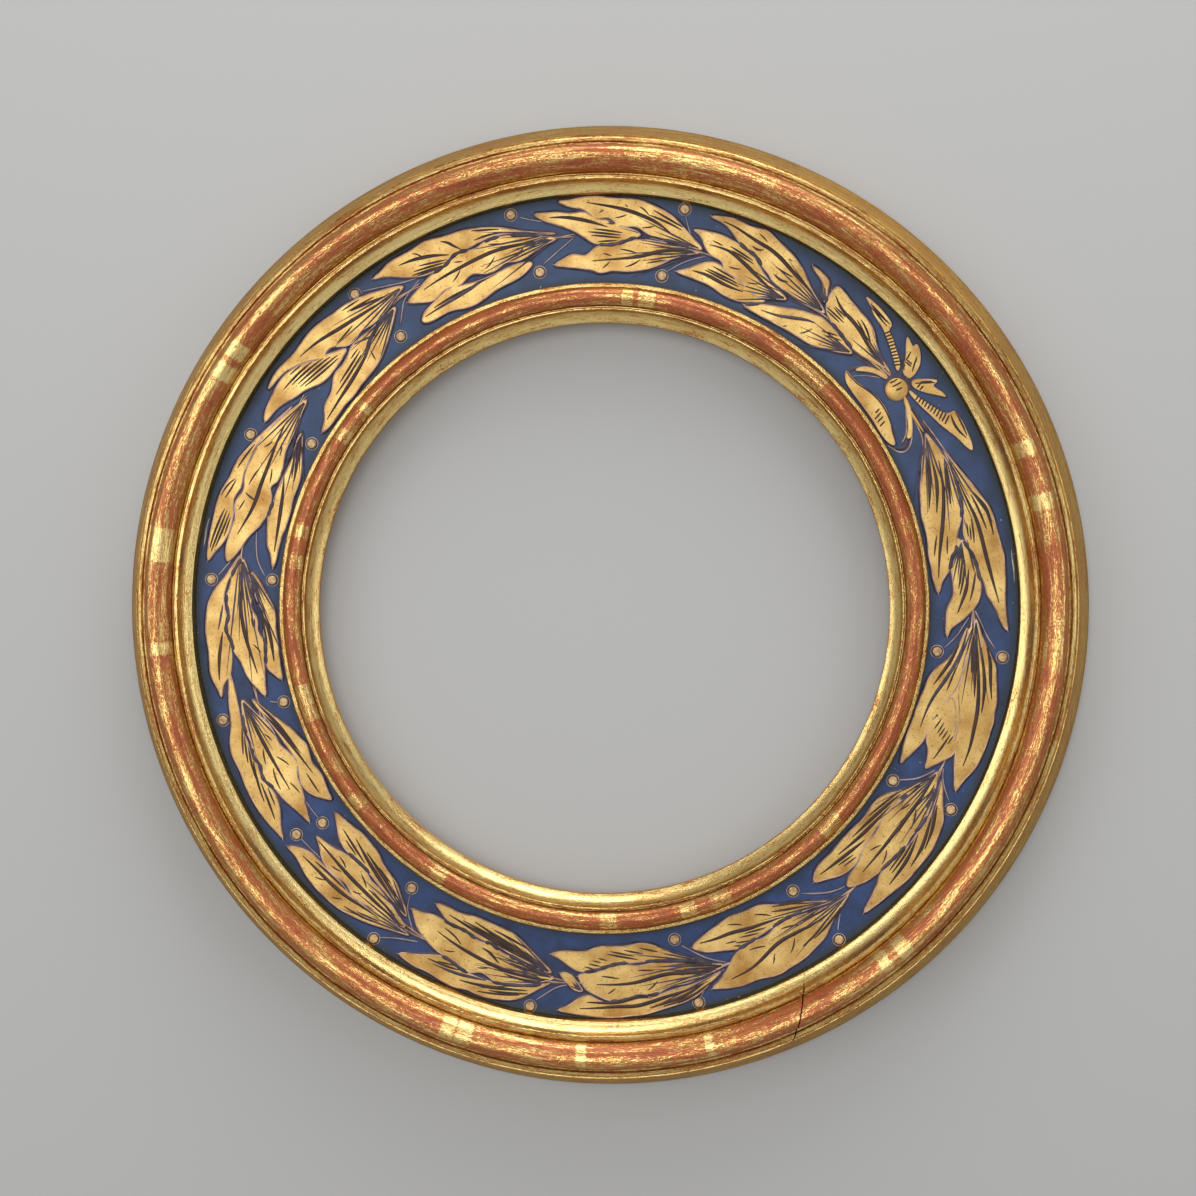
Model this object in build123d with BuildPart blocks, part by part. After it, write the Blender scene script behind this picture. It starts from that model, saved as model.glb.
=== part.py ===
from build123d import *
import os
from math import cos, radians, sin, tan

# Round picture frame, upright as it hangs, in millimetres.
# The ring stands in the XZ plane, its front faces -Y, and the origin is the
# ring's centre on the plane of its back. A profile point is (radius, height
# above the back plane).

# Members of the rail, from the outer edge of the back inwards
frame_radius = 250.0
side_width = 12.0
side_foot_height = 2.0
side_hollow = 0.9
outer_fillet_width = 3.5
torus_width = 13.5
groove_width = 0.7
groove_depth = 1.6
inner_fillet_width = 3.0
cove_width = 6.0
cove_hollow = 1.1
frieze_width = 45.0
bead_fillet_width = 2.6
bead_width = 9.5
lip_fillet_width = 1.8
sight_cove_width = 5.1
sight_cove_hollow = 1.8

# Heights of the members above the back plane
shoulder_height = 27.5
torus_height = 33.5
cove_top_height = 27.0
frieze_height = 14.0
cove_foot_rise = 7.0
bead_shoulder_height = 18.5
bead_foot_height = 20.0
bead_height = 24.5
lip_fillet_height = 20.5
sight_edge_height = 9.3

# Carcass, its rebate and its joints
rebate_lip = 8.0
rebate_depth = 6.5
seat_ledge = 2.0
ground_thickness = 1.0
moulding_cover = 22.0
glue_gap = 0.1
ground_clearance = 0.05
segments = 6
outer_joint_angle = 295.0
carcass_joint_angle = 20.0
sight_joint_angle = 50.0
key_length = 24.0
key_width = 36.0
key_thickness = 4.0

# Relief on the frieze
leaf_relief = 0.6
bow_relief = 0.7
knot_radius = 6.4
knot_relief = 2.0
knot_rounding = 1.1
berry_radius = 2.3
berry_relief = 1.0
berry_rounding = 0.7

# Strap hanger and its ring
strap_width = 14.0
strap_length = 36.0
strap_thickness = 1.5
strap_inset = 14.0
strap_corner = 3.0
strap_hole_shares = (0.42, 0.84)
ring_wire_radius = 1.25
ring_clearance = 0.05
ring_width = 26.0
ring_length = 20.0
ring_corner = 3.5
ring_bend = 11.0

# Turn buttons
button_angle = 45.0
button_count = 4
button_inset = 7.0
button_reach = 12.0
button_width = 8.0
button_thickness = 1.5
button_play = 0.1

# Wood screws
screw_length = 11.0
screw_radius = 1.6
screw_clearance = 0.05
screw_head_radius = 3.2
screw_head_height = 1.6
screw_head_rounding = 1.0
countersink_radius = 2.8
countersink_angle = 90.0
slot_width = 0.8
slot_depth = 0.7

os.makedirs("parts", exist_ok=True)

# Radii that follow from the members
shoulder_radius = frame_radius - side_width
torus_outer_radius = shoulder_radius - outer_fillet_width
torus_inner_radius = torus_outer_radius - torus_width
inner_fillet_radius = torus_inner_radius - inner_fillet_width
frieze_outer_radius = inner_fillet_radius - cove_width
frieze_inner_radius = frieze_outer_radius - frieze_width
bead_outer_radius = frieze_inner_radius - bead_fillet_width
bead_inner_radius = bead_outer_radius - bead_width
lip_fillet_radius = bead_inner_radius - lip_fillet_width
sight_radius = lip_fillet_radius - sight_cove_width
rebate_radius = sight_radius + rebate_lip
seat_radius = rebate_radius + seat_ledge
carcass_radius = frame_radius - moulding_cover
carcass_thickness = frieze_height - ground_thickness
rail_middle_radius = (rebate_radius + carcass_radius) / 2
key_height = carcass_thickness / 2
sector = 360 / segments

ring_axis = Axis((0, 0, 0), (0, -1, 0))


def radial_plane(angle):
    """Plane through the ring's axis: local x is the radius, local y the height."""
    turn = radians(angle)
    return Plane(origin=(0, 0, 0), x_dir=(cos(turn), 0, sin(turn)), z_dir=(sin(turn), 0, -cos(turn)))


def front_plane(height):
    """Plane parallel to the frame at this height, seen from the front."""
    return Plane(origin=(0, -height, 0), x_dir=(1, 0, 0), z_dir=(0, -1, 0))


def back_plane(rise):
    """Plane parallel to the frame, this far behind its back, seen from behind."""
    return Plane(origin=(0, rise, 0), x_dir=(1, 0, 0), z_dir=(0, 1, 0))


def ring_point(radius, angle):
    return (radius * cos(radians(angle)), radius * sin(radians(angle)))


def frieze_point(angle, share):
    return ring_point(frieze_inner_radius + share * frieze_width, angle)


def keep(node, name):
    node.part.label = name
    export_step(node.part, f"parts/{name}.step")


# Places of the screws on the back
knuckle_height = rail_middle_radius + strap_inset
hanger_points = [(0, knuckle_height - share * strap_length) for share in strap_hole_shares]
pivot_radius = rebate_radius + button_inset
button_angles = [button_angle + number * 360 / button_count for number in range(button_count)]
button_points = [ring_point(pivot_radius, angle) for angle in button_angles]

# Carcass of curved segments, its joints held by loose keys
for number in range(segments):
    start = carcass_joint_angle + number * sector
    with BuildPart() as carcass_segment:
        with BuildSketch(radial_plane(start)):
            with BuildLine():
                Polyline(
                    (rebate_radius, 0),
                    (carcass_radius - glue_gap, 0),
                    (carcass_radius - glue_gap, carcass_thickness),
                    (seat_radius, carcass_thickness),
                    (seat_radius, rebate_depth),
                    (rebate_radius, rebate_depth),
                    close=True,
                )
            make_face()
        revolve(axis=ring_axis, revolution_arc=sector)
        for joint_angle in (start, start + sector):
            with BuildSketch(radial_plane(joint_angle)):
                with Locations((rail_middle_radius, key_height)):
                    Rectangle(key_width, key_thickness)
            extrude(amount=key_length / 2, both=True, mode=Mode.SUBTRACT)
        with BuildSketch(Plane.XZ):
            with Locations(*hanger_points, *button_points):
                Circle(screw_radius + screw_clearance)
        extrude(amount=screw_length, mode=Mode.SUBTRACT)
    keep(carcass_segment, f"carcass_segment_{number + 1}")

with BuildPart() as spline_keys:
    for number in range(segments):
        with BuildSketch(radial_plane(carcass_joint_angle + number * sector)):
            with Locations((rail_middle_radius, key_height)):
                Rectangle(key_width, key_thickness)
        extrude(amount=key_length / 2, both=True)
keep(spline_keys, "spline_keys")

# Outer moulding: sloped side, fillet, torus, groove, fillet and cove
torus_crown = (torus_outer_radius + torus_inner_radius) / 2
side_middle = (
    (frame_radius + shoulder_radius) / 2 - side_hollow,
    (side_foot_height + shoulder_height) / 2,
)
cove_foot_height = frieze_height + cove_foot_rise
cove_middle = (
    (inner_fillet_radius + frieze_outer_radius) / 2 + cove_hollow,
    (cove_top_height + cove_foot_height) / 2 - cove_hollow,
)
for number in range(segments):
    start = outer_joint_angle + number * sector
    with BuildPart() as outer_segment:
        with BuildSketch(radial_plane(start)):
            with BuildLine():
                Polyline(
                    (frieze_outer_radius, cove_foot_height),
                    (frieze_outer_radius, carcass_thickness),
                    (carcass_radius, carcass_thickness),
                    (carcass_radius, 0),
                    (frame_radius, 0),
                    (frame_radius, side_foot_height),
                )
                ThreePointArc(
                    (frame_radius, side_foot_height),
                    side_middle,
                    (shoulder_radius, shoulder_height),
                )
                Line((shoulder_radius, shoulder_height), (torus_outer_radius, shoulder_height))
                ThreePointArc(
                    (torus_outer_radius, shoulder_height),
                    (torus_crown, torus_height),
                    (torus_inner_radius, shoulder_height),
                )
                Polyline(
                    (torus_inner_radius, shoulder_height),
                    (torus_inner_radius, cove_top_height - groove_depth),
                    (torus_inner_radius - groove_width, cove_top_height - groove_depth),
                    (torus_inner_radius - groove_width, cove_top_height),
                    (inner_fillet_radius, cove_top_height),
                )
                ThreePointArc(
                    (inner_fillet_radius, cove_top_height),
                    cove_middle,
                    (frieze_outer_radius, cove_foot_height),
                )
            make_face()
        revolve(axis=ring_axis, revolution_arc=sector)
    keep(outer_segment, f"outer_moulding_segment_{number + 1}")

# Sight moulding: fillet, bead, lip and cove; its foot sits in the carcass and makes the rebate's lip
bead_crown = (bead_outer_radius + bead_inner_radius) / 2
sight_cove_middle = (
    (lip_fillet_radius + sight_radius) / 2 + sight_cove_hollow,
    (lip_fillet_height + sight_edge_height) / 2 - sight_cove_hollow,
)
for number in range(segments):
    start = sight_joint_angle + number * sector
    with BuildPart() as sight_segment:
        with BuildSketch(radial_plane(start)):
            with BuildLine():
                Polyline(
                    (sight_radius, sight_edge_height),
                    (sight_radius, rebate_depth),
                    (seat_radius - glue_gap, rebate_depth),
                    (seat_radius - glue_gap, carcass_thickness),
                    (frieze_inner_radius, carcass_thickness),
                    (frieze_inner_radius, bead_shoulder_height),
                    (bead_outer_radius, bead_shoulder_height),
                    (bead_outer_radius, bead_foot_height),
                )
                ThreePointArc(
                    (bead_outer_radius, bead_foot_height),
                    (bead_crown, bead_height),
                    (bead_inner_radius, bead_foot_height),
                )
                Polyline(
                    (bead_inner_radius, bead_foot_height),
                    (bead_inner_radius, lip_fillet_height),
                    (lip_fillet_radius, lip_fillet_height),
                )
                ThreePointArc(
                    (lip_fillet_radius, lip_fillet_height),
                    sight_cove_middle,
                    (sight_radius, sight_edge_height),
                )
            make_face()
        revolve(axis=ring_axis, revolution_arc=sector)
    keep(sight_segment, f"sight_moulding_segment_{number + 1}")

# Painted ground between the two mouldings
with BuildPart() as frieze_ground:
    with BuildSketch(front_plane(carcass_thickness)):
        Circle(frieze_outer_radius - ground_clearance)
        Circle(frieze_inner_radius + ground_clearance, mode=Mode.SUBTRACT)
    extrude(amount=ground_thickness)
keep(frieze_ground, "frieze_ground")

# Laurel garland in low relief. A leaf is its two edges from root to tip, and
# each point is an angle in degrees and a share of the frieze's width.
left_branch_shares = [
    (
        [(40, .515), (42, .54), (43.5, .58), (44.7, .645), (46.2, .72), (48.2, .745), (50.5, .765),
         (52.7, .81), (54, .83)],
        [(41.5, .475), (43.2, .425), (45, .395), (46.6, .388), (48, .405), (49.5, .43), (51, .445),
         (52.3, .48), (53.4, .545), (54, .64), (54.1, .74)],
    ),
    (
        [(53.7, .57), (54.4, .67), (54.9, .75), (55.1, .815), (57, .85), (58.9, .86)],
        [(54.6, .62), (55.3, .71), (56, .77), (57.3, .81)],
    ),
    (
        [(45.3, .35), (47, .375), (49, .4), (51, .42), (53, .44), (54.8, .39), (56.8, .355),
         (58.5, .29), (61, .235), (63, .18), (65.6, .1)],
        [(46.4, .31), (47.5, .25), (49.2, .195), (51, .135), (52.3, .11), (55, .105), (58, .09),
         (61, .08), (63.5, .085)],
    ),
    (
        [(52.6, .49), (54.6, .55), (56.3, .6), (57.8, .675), (59, .745), (60.3, .8), (61.5, .845),
         (63, .885), (64.5, .915), (65.7, .96), (66.7, .975), (67.8, .95), (69, .94), (70.2, .962),
         (71.3, .965), (72.8, .95), (74.8, .915)],
        [(54, .465), (57, .45), (59, .455), (61.2, .465), (62.7, .485), (63.3, .535), (64.2, .56),
         (65.3, .6), (66.1, .655), (67.2, .677), (68.2, .69), (69.2, .725), (70.2, .78),
         (71.2, .84), (72.3, .885), (73.5, .905)],
    ),
    (
        [(58.5, .39), (61.5, .43), (64, .5), (65.7, .6), (67, .665), (68.5, .69), (70, .725),
         (72, .752), (74, .745), (76.8, .73)],
        [(60.5, .34), (62, .28), (64, .255), (65.5, .275), (66.4, .32), (67, .36), (68.2, .35),
         (69.4, .36), (70.2, .4), (70.7, .455), (71.2, .482), (72.2, .487), (73.2, .51), (74, .565),
         (74.7, .65), (75.5, .7)],
    ),
    (
        [(61.5, .26), (64, .25), (66, .29), (67, .35), (68.2, .345), (69.4, .355), (70.2, .395),
         (71, .43), (72.3, .435), (73.8, .385), (75.2, .31), (76.6, .245), (77.8, .225)],
        [(63, .205), (64.5, .155), (66, .12), (67.5, .113), (69, .125), (70.3, .15), (71.5, .175),
         (73.5, .19), (76, .205)],
    ),
    (
        [(73.8, .515), (75.5, .6), (77.3, .69), (78.6, .77), (79.8, .83), (81.5, .885), (83.3, .93),
         (84.8, .96), (86.3, .965), (87.5, .955), (88.8, .97), (90.3, .985), (92, .985),
         (93.2, .975), (94.6, .955), (96.3, .97)],
        [(76, .53), (79, .54), (82, .56), (83.2, .6), (84.2, .65), (85.3, .665), (86.5, .645),
         (87.6, .66), (88.1, .71), (88.8, .75), (89.8, .74), (90.8, .735), (91.5, .775),
         (92.2, .835), (93, .86), (94.2, .88), (95.4, .92)],
    ),
    (
        [(83.5, .57), (85.3, .63), (87.5, .655), (88.5, .715), (90.2, .725), (91.3, .76),
         (92.4, .825), (93.6, .81), (95, .81), (96.2, .84), (97.5, .845), (98.7, .85),
         (99.9, .868)],
        [(85, .53), (86.3, .485), (87.5, .45), (89, .435), (90.5, .445), (91.6, .475), (92.6, .53),
         (93.8, .6), (95, .65), (96.5, .7), (98, .75), (99, .8)],
    ),
    (
        [(74, .495), (77, .5), (80, .515), (83, .525), (85.3, .505), (86.4, .465), (87.5, .435),
         (89, .425), (90.5, .43), (91.3, .39), (92, .335), (93, .315), (94, .345), (95, .345),
         (96.2, .3), (98.1, .25)],
        [(75.5, .46), (77.3, .41), (78.7, .35), (80, .28), (81.5, .215), (83.2, .18), (85, .15),
         (86.5, .145), (88, .155), (89.3, .13), (90.4, .12), (91.5, .16), (93, .18), (95, .205),
         (96.7, .23)],
    ),
    (
        [(96, .595), (99, .635), (102, .695), (104.3, .785), (106.5, .835), (108.5, .875),
         (110, .9), (112, .905), (113.7, .925), (115.5, .965), (117, .945), (118.6, .935),
         (120.5, .95), (122, .94), (123.3, .91), (125, .895)],
        [(99, .615), (101.5, .67), (104, .715), (106.5, .73), (108.5, .71), (110, .685),
         (112, .695), (113.3, .68), (114, .63), (115, .605), (116.5, .6), (118, .615), (119.5, .66),
         (121, .73), (122.2, .8), (123.6, .865)],
    ),
    (
        [(96.5, .55), (98.5, .585), (100.5, .63), (102.5, .665), (104.5, .695), (106.3, .705),
         (107.8, .69), (108.7, .66), (109.8, .65), (111, .68), (112.2, .685), (113.3, .65),
         (114.3, .605), (115.8, .595), (117.3, .575), (119, .53), (120.8, .485), (122.6, .45)],
        [(97.5, .525), (99, .49), (100.5, .44), (102, .39), (103.8, .375), (104.7, .395),
         (105.6, .4), (106.5, .36), (107.8, .335), (109, .345), (110.2, .385), (111.2, .4),
         (112.3, .37), (113.1, .335), (114.3, .338), (115.3, .36), (116.3, .36), (117.4, .33),
         (118.5, .308), (119.7, .34), (121.2, .4)],
    ),
    (
        [(101, .33), (102.5, .35), (104.5, .345), (106.3, .32), (108, .305), (110, .29), (112, .31),
         (113.5, .325), (114.5, .345), (115.8, .355), (117, .335), (118.3, .295), (119.8, .27),
         (121, .24), (122.1, .17)],
        [(101.7, .27), (103.2, .21), (105, .17), (107, .155), (109, .12), (110.7, .08),
         (112.5, .06), (114.2, .068), (115.5, .1), (117, .125), (119, .12), (121, .12)],
    ),
    (
        [(121, .63), (123, .685), (125, .745), (127, .8), (129, .84), (130.5, .865), (132.5, .87),
         (134, .9), (135.5, .915), (137.3, .915), (138.7, .9), (140.3, .885), (141.8, .905),
         (143.5, .93), (145, .925), (146, .905), (146.8, .89)],
        [(122.5, .6), (124, .555), (125.7, .51), (127.5, .48), (129.3, .487), (130.5, .515),
         (131.4, .505), (132.4, .475), (133.8, .485), (134.8, .545), (135.6, .61), (136.6, .63),
         (137.7, .605), (138.7, .64), (139.7, .715), (140.8, .765), (142, .81), (143.5, .86),
         (145.2, .875)],
    ),
    (
        [(134, .48), (135.5, .53), (137, .59), (138.7, .635), (139.9, .705), (141.2, .765),
         (142.5, .81), (144, .838), (146, .825), (148, .805), (150, .785), (151.2, .72)],
        [(135.3, .445), (136.8, .425), (138.5, .415), (140, .415), (141.2, .435), (142.5, .495),
         (143.8, .55), (145.3, .58), (146.5, .635), (147.7, .68), (149.3, .71)],
    ),
    (
        [(123.8, .5), (126, .475), (127.5, .465), (129, .45), (131, .455), (133.2, .47),
         (134.3, .43), (135.5, .395), (136.8, .375), (138.2, .388), (139.2, .36), (140.2, .305),
         (141.5, .26), (143, .255), (144, .23), (145, .175), (146, .13), (148.1, .1)],
        [(125, .42), (126.4, .335), (127.8, .26), (129.3, .195), (130.7, .14), (132, .11),
         (134, .08), (136, .075), (137.8, .06), (139.5, .05), (141.3, .065), (143, .055),
         (145, .053), (146.7, .07)],
    ),
    (
        [(146, .54), (149, .605), (151, .655), (153, .715), (154.5, .75), (156, .79), (157.5, .83),
         (159, .845), (160.3, .845), (161.5, .87), (163, .9), (164.5, .91), (166, .9), (168, .905),
         (170, .905), (172, .9), (173.2, .885)],
        [(148, .57), (151, .635), (153.5, .695), (156, .705), (158.5, .715), (160.3, .7),
         (161.3, .68), (162.3, .715), (163.8, .735), (165, .695), (166.3, .68), (168, .69),
         (169.5, .715), (171, .79), (172, .845)],
    ),
    (
        [(143.5, .45), (147, .53), (149, .585), (151, .63), (152.5, .67), (154, .685), (156, .685),
         (157.5, .695), (159, .7), (160.2, .68), (161, .65), (162, .655), (163, .695), (164, .705),
         (165, .68), (165.8, .65), (167, .67), (169, .685), (171, .7), (173.1, .665)],
        [(147, .42), (149, .39), (151, .37), (153, .375), (154.5, .345), (156, .315), (157.8, .3),
         (158.8, .32), (159.4, .365), (160.2, .36), (160.9, .315), (162.2, .3), (164, .305),
         (165.5, .33), (166.8, .38), (168, .45), (169.3, .49), (170.8, .54), (172, .6)],
    ),
    (
        [(149, .31), (151.5, .3), (153.5, .26), (156.2, .255), (158, .27), (160, .28), (161.5, .27),
         (163.5, .295), (165, .28), (167, .25), (169.2, .225), (170, .18), (171.5, .14),
         (173.3, .12)],
        [(150.5, .25), (152, .2), (153.5, .15), (155, .105), (156.7, .075), (158.7, .07),
         (160.5, .075), (162, .055), (164, .05), (165.5, .06), (167, .08), (169, .09),
         (171.3, .095)],
    ),
    (
        [(171, .51), (173, .58), (175, .66), (176.3, .74), (177.5, .8), (179, .85), (180.5, .87),
         (182, .885), (184, .89), (186, .865), (188, .885), (189.5, .895), (190.7, .865),
         (192, .83), (193.4, .82)],
        [(172.5, .53), (174, .58), (176, .64), (178, .675), (180, .66), (181.2, .625),
         (182.5, .665), (183.6, .66), (184.6, .61), (186.3, .605), (188, .62), (189.5, .65),
         (190.3, .69), (191, .75), (191.8, .79)],
    ),
    (
        [(171.5, .49), (173.2, .54), (174.5, .59), (176.5, .6), (177.5, .635), (178.8, .645),
         (180, .625), (181, .605), (182, .64), (183.2, .655), (184, .63), (185, .59), (186.5, .585),
         (187.5, .535), (189, .495), (190.7, .47), (192, .42), (193.5, .36), (194.6, .31)],
        [(173, .43), (175, .37), (177, .33), (178.5, .345), (179.5, .36), (180.3, .33),
         (181.2, .28), (182.4, .275), (183.4, .29), (184.2, .265), (185, .22), (186.5, .21),
         (188, .235), (190, .255), (192, .28), (193.6, .295)],
    ),
    (
        [(173.6, .38), (175, .34), (176.5, .31), (177.8, .3), (179, .26), (180.3, .2), (182, .18),
         (183.5, .215), (185, .205), (187, .205), (189, .235), (190.3, .21), (191.2, .15),
         (192.9, .065)],
        [(174.5, .3), (176.3, .21), (178, .15), (179.3, .09), (180.5, .068), (182, .065),
         (184, .07), (186, .055), (188, .06), (190.5, .07)],
    ),
    (
        [(189.6, .67), (192, .715), (194.5, .755), (197, .785), (198.3, .82), (199.5, .87),
         (201, .905), (202.5, .9), (204, .885), (205.5, .9), (207, .91), (209, .912), (211, .905),
         (213, .885), (214.5, .86), (216, .85)],
        [(191, .65), (194, .65), (197, .67), (199, .69), (200.8, .675), (202.5, .705), (204, .665),
         (205.5, .69), (207, .69), (208.2, .655), (209.5, .64), (211, .66), (212.3, .705),
         (213.8, .78), (215, .83)],
    ),
    (
        [(193.7, .6), (195.5, .615), (197.5, .655), (199, .665), (200.2, .63), (201.5, .65),
         (202.8, .685), (203.8, .66), (204.5, .64), (205.5, .67), (206.5, .685), (207.5, .665),
         (208.7, .61), (210, .6), (211.5, .575), (213, .53), (214.5, .505), (216.5, .48)],
        [(195, .54), (196.5, .49), (197.7, .42), (199, .37), (200.5, .345), (202, .345),
         (203.2, .33), (204.3, .28), (205.5, .245), (206.8, .24), (207.8, .28), (209, .325),
         (210.3, .325), (211.5, .35), (213, .395), (215, .455)],
    ),
    (
        [(194, .49), (195.5, .46), (197, .4), (199, .35), (201, .3), (203.5, .27), (206, .225),
         (208, .27), (209.5, .31), (211, .32), (212.5, .275), (213.7, .215), (214.6, .15),
         (215.4, .11)],
        [(195.5, .41), (197, .34), (198.5, .26), (200, .19), (201.5, .12), (203, .095), (204, .055),
         (205, .043), (206.5, .07), (208, .09), (209.3, .06), (210.5, .05), (212, .07),
         (213.8, .1)],
    ),
]
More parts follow.
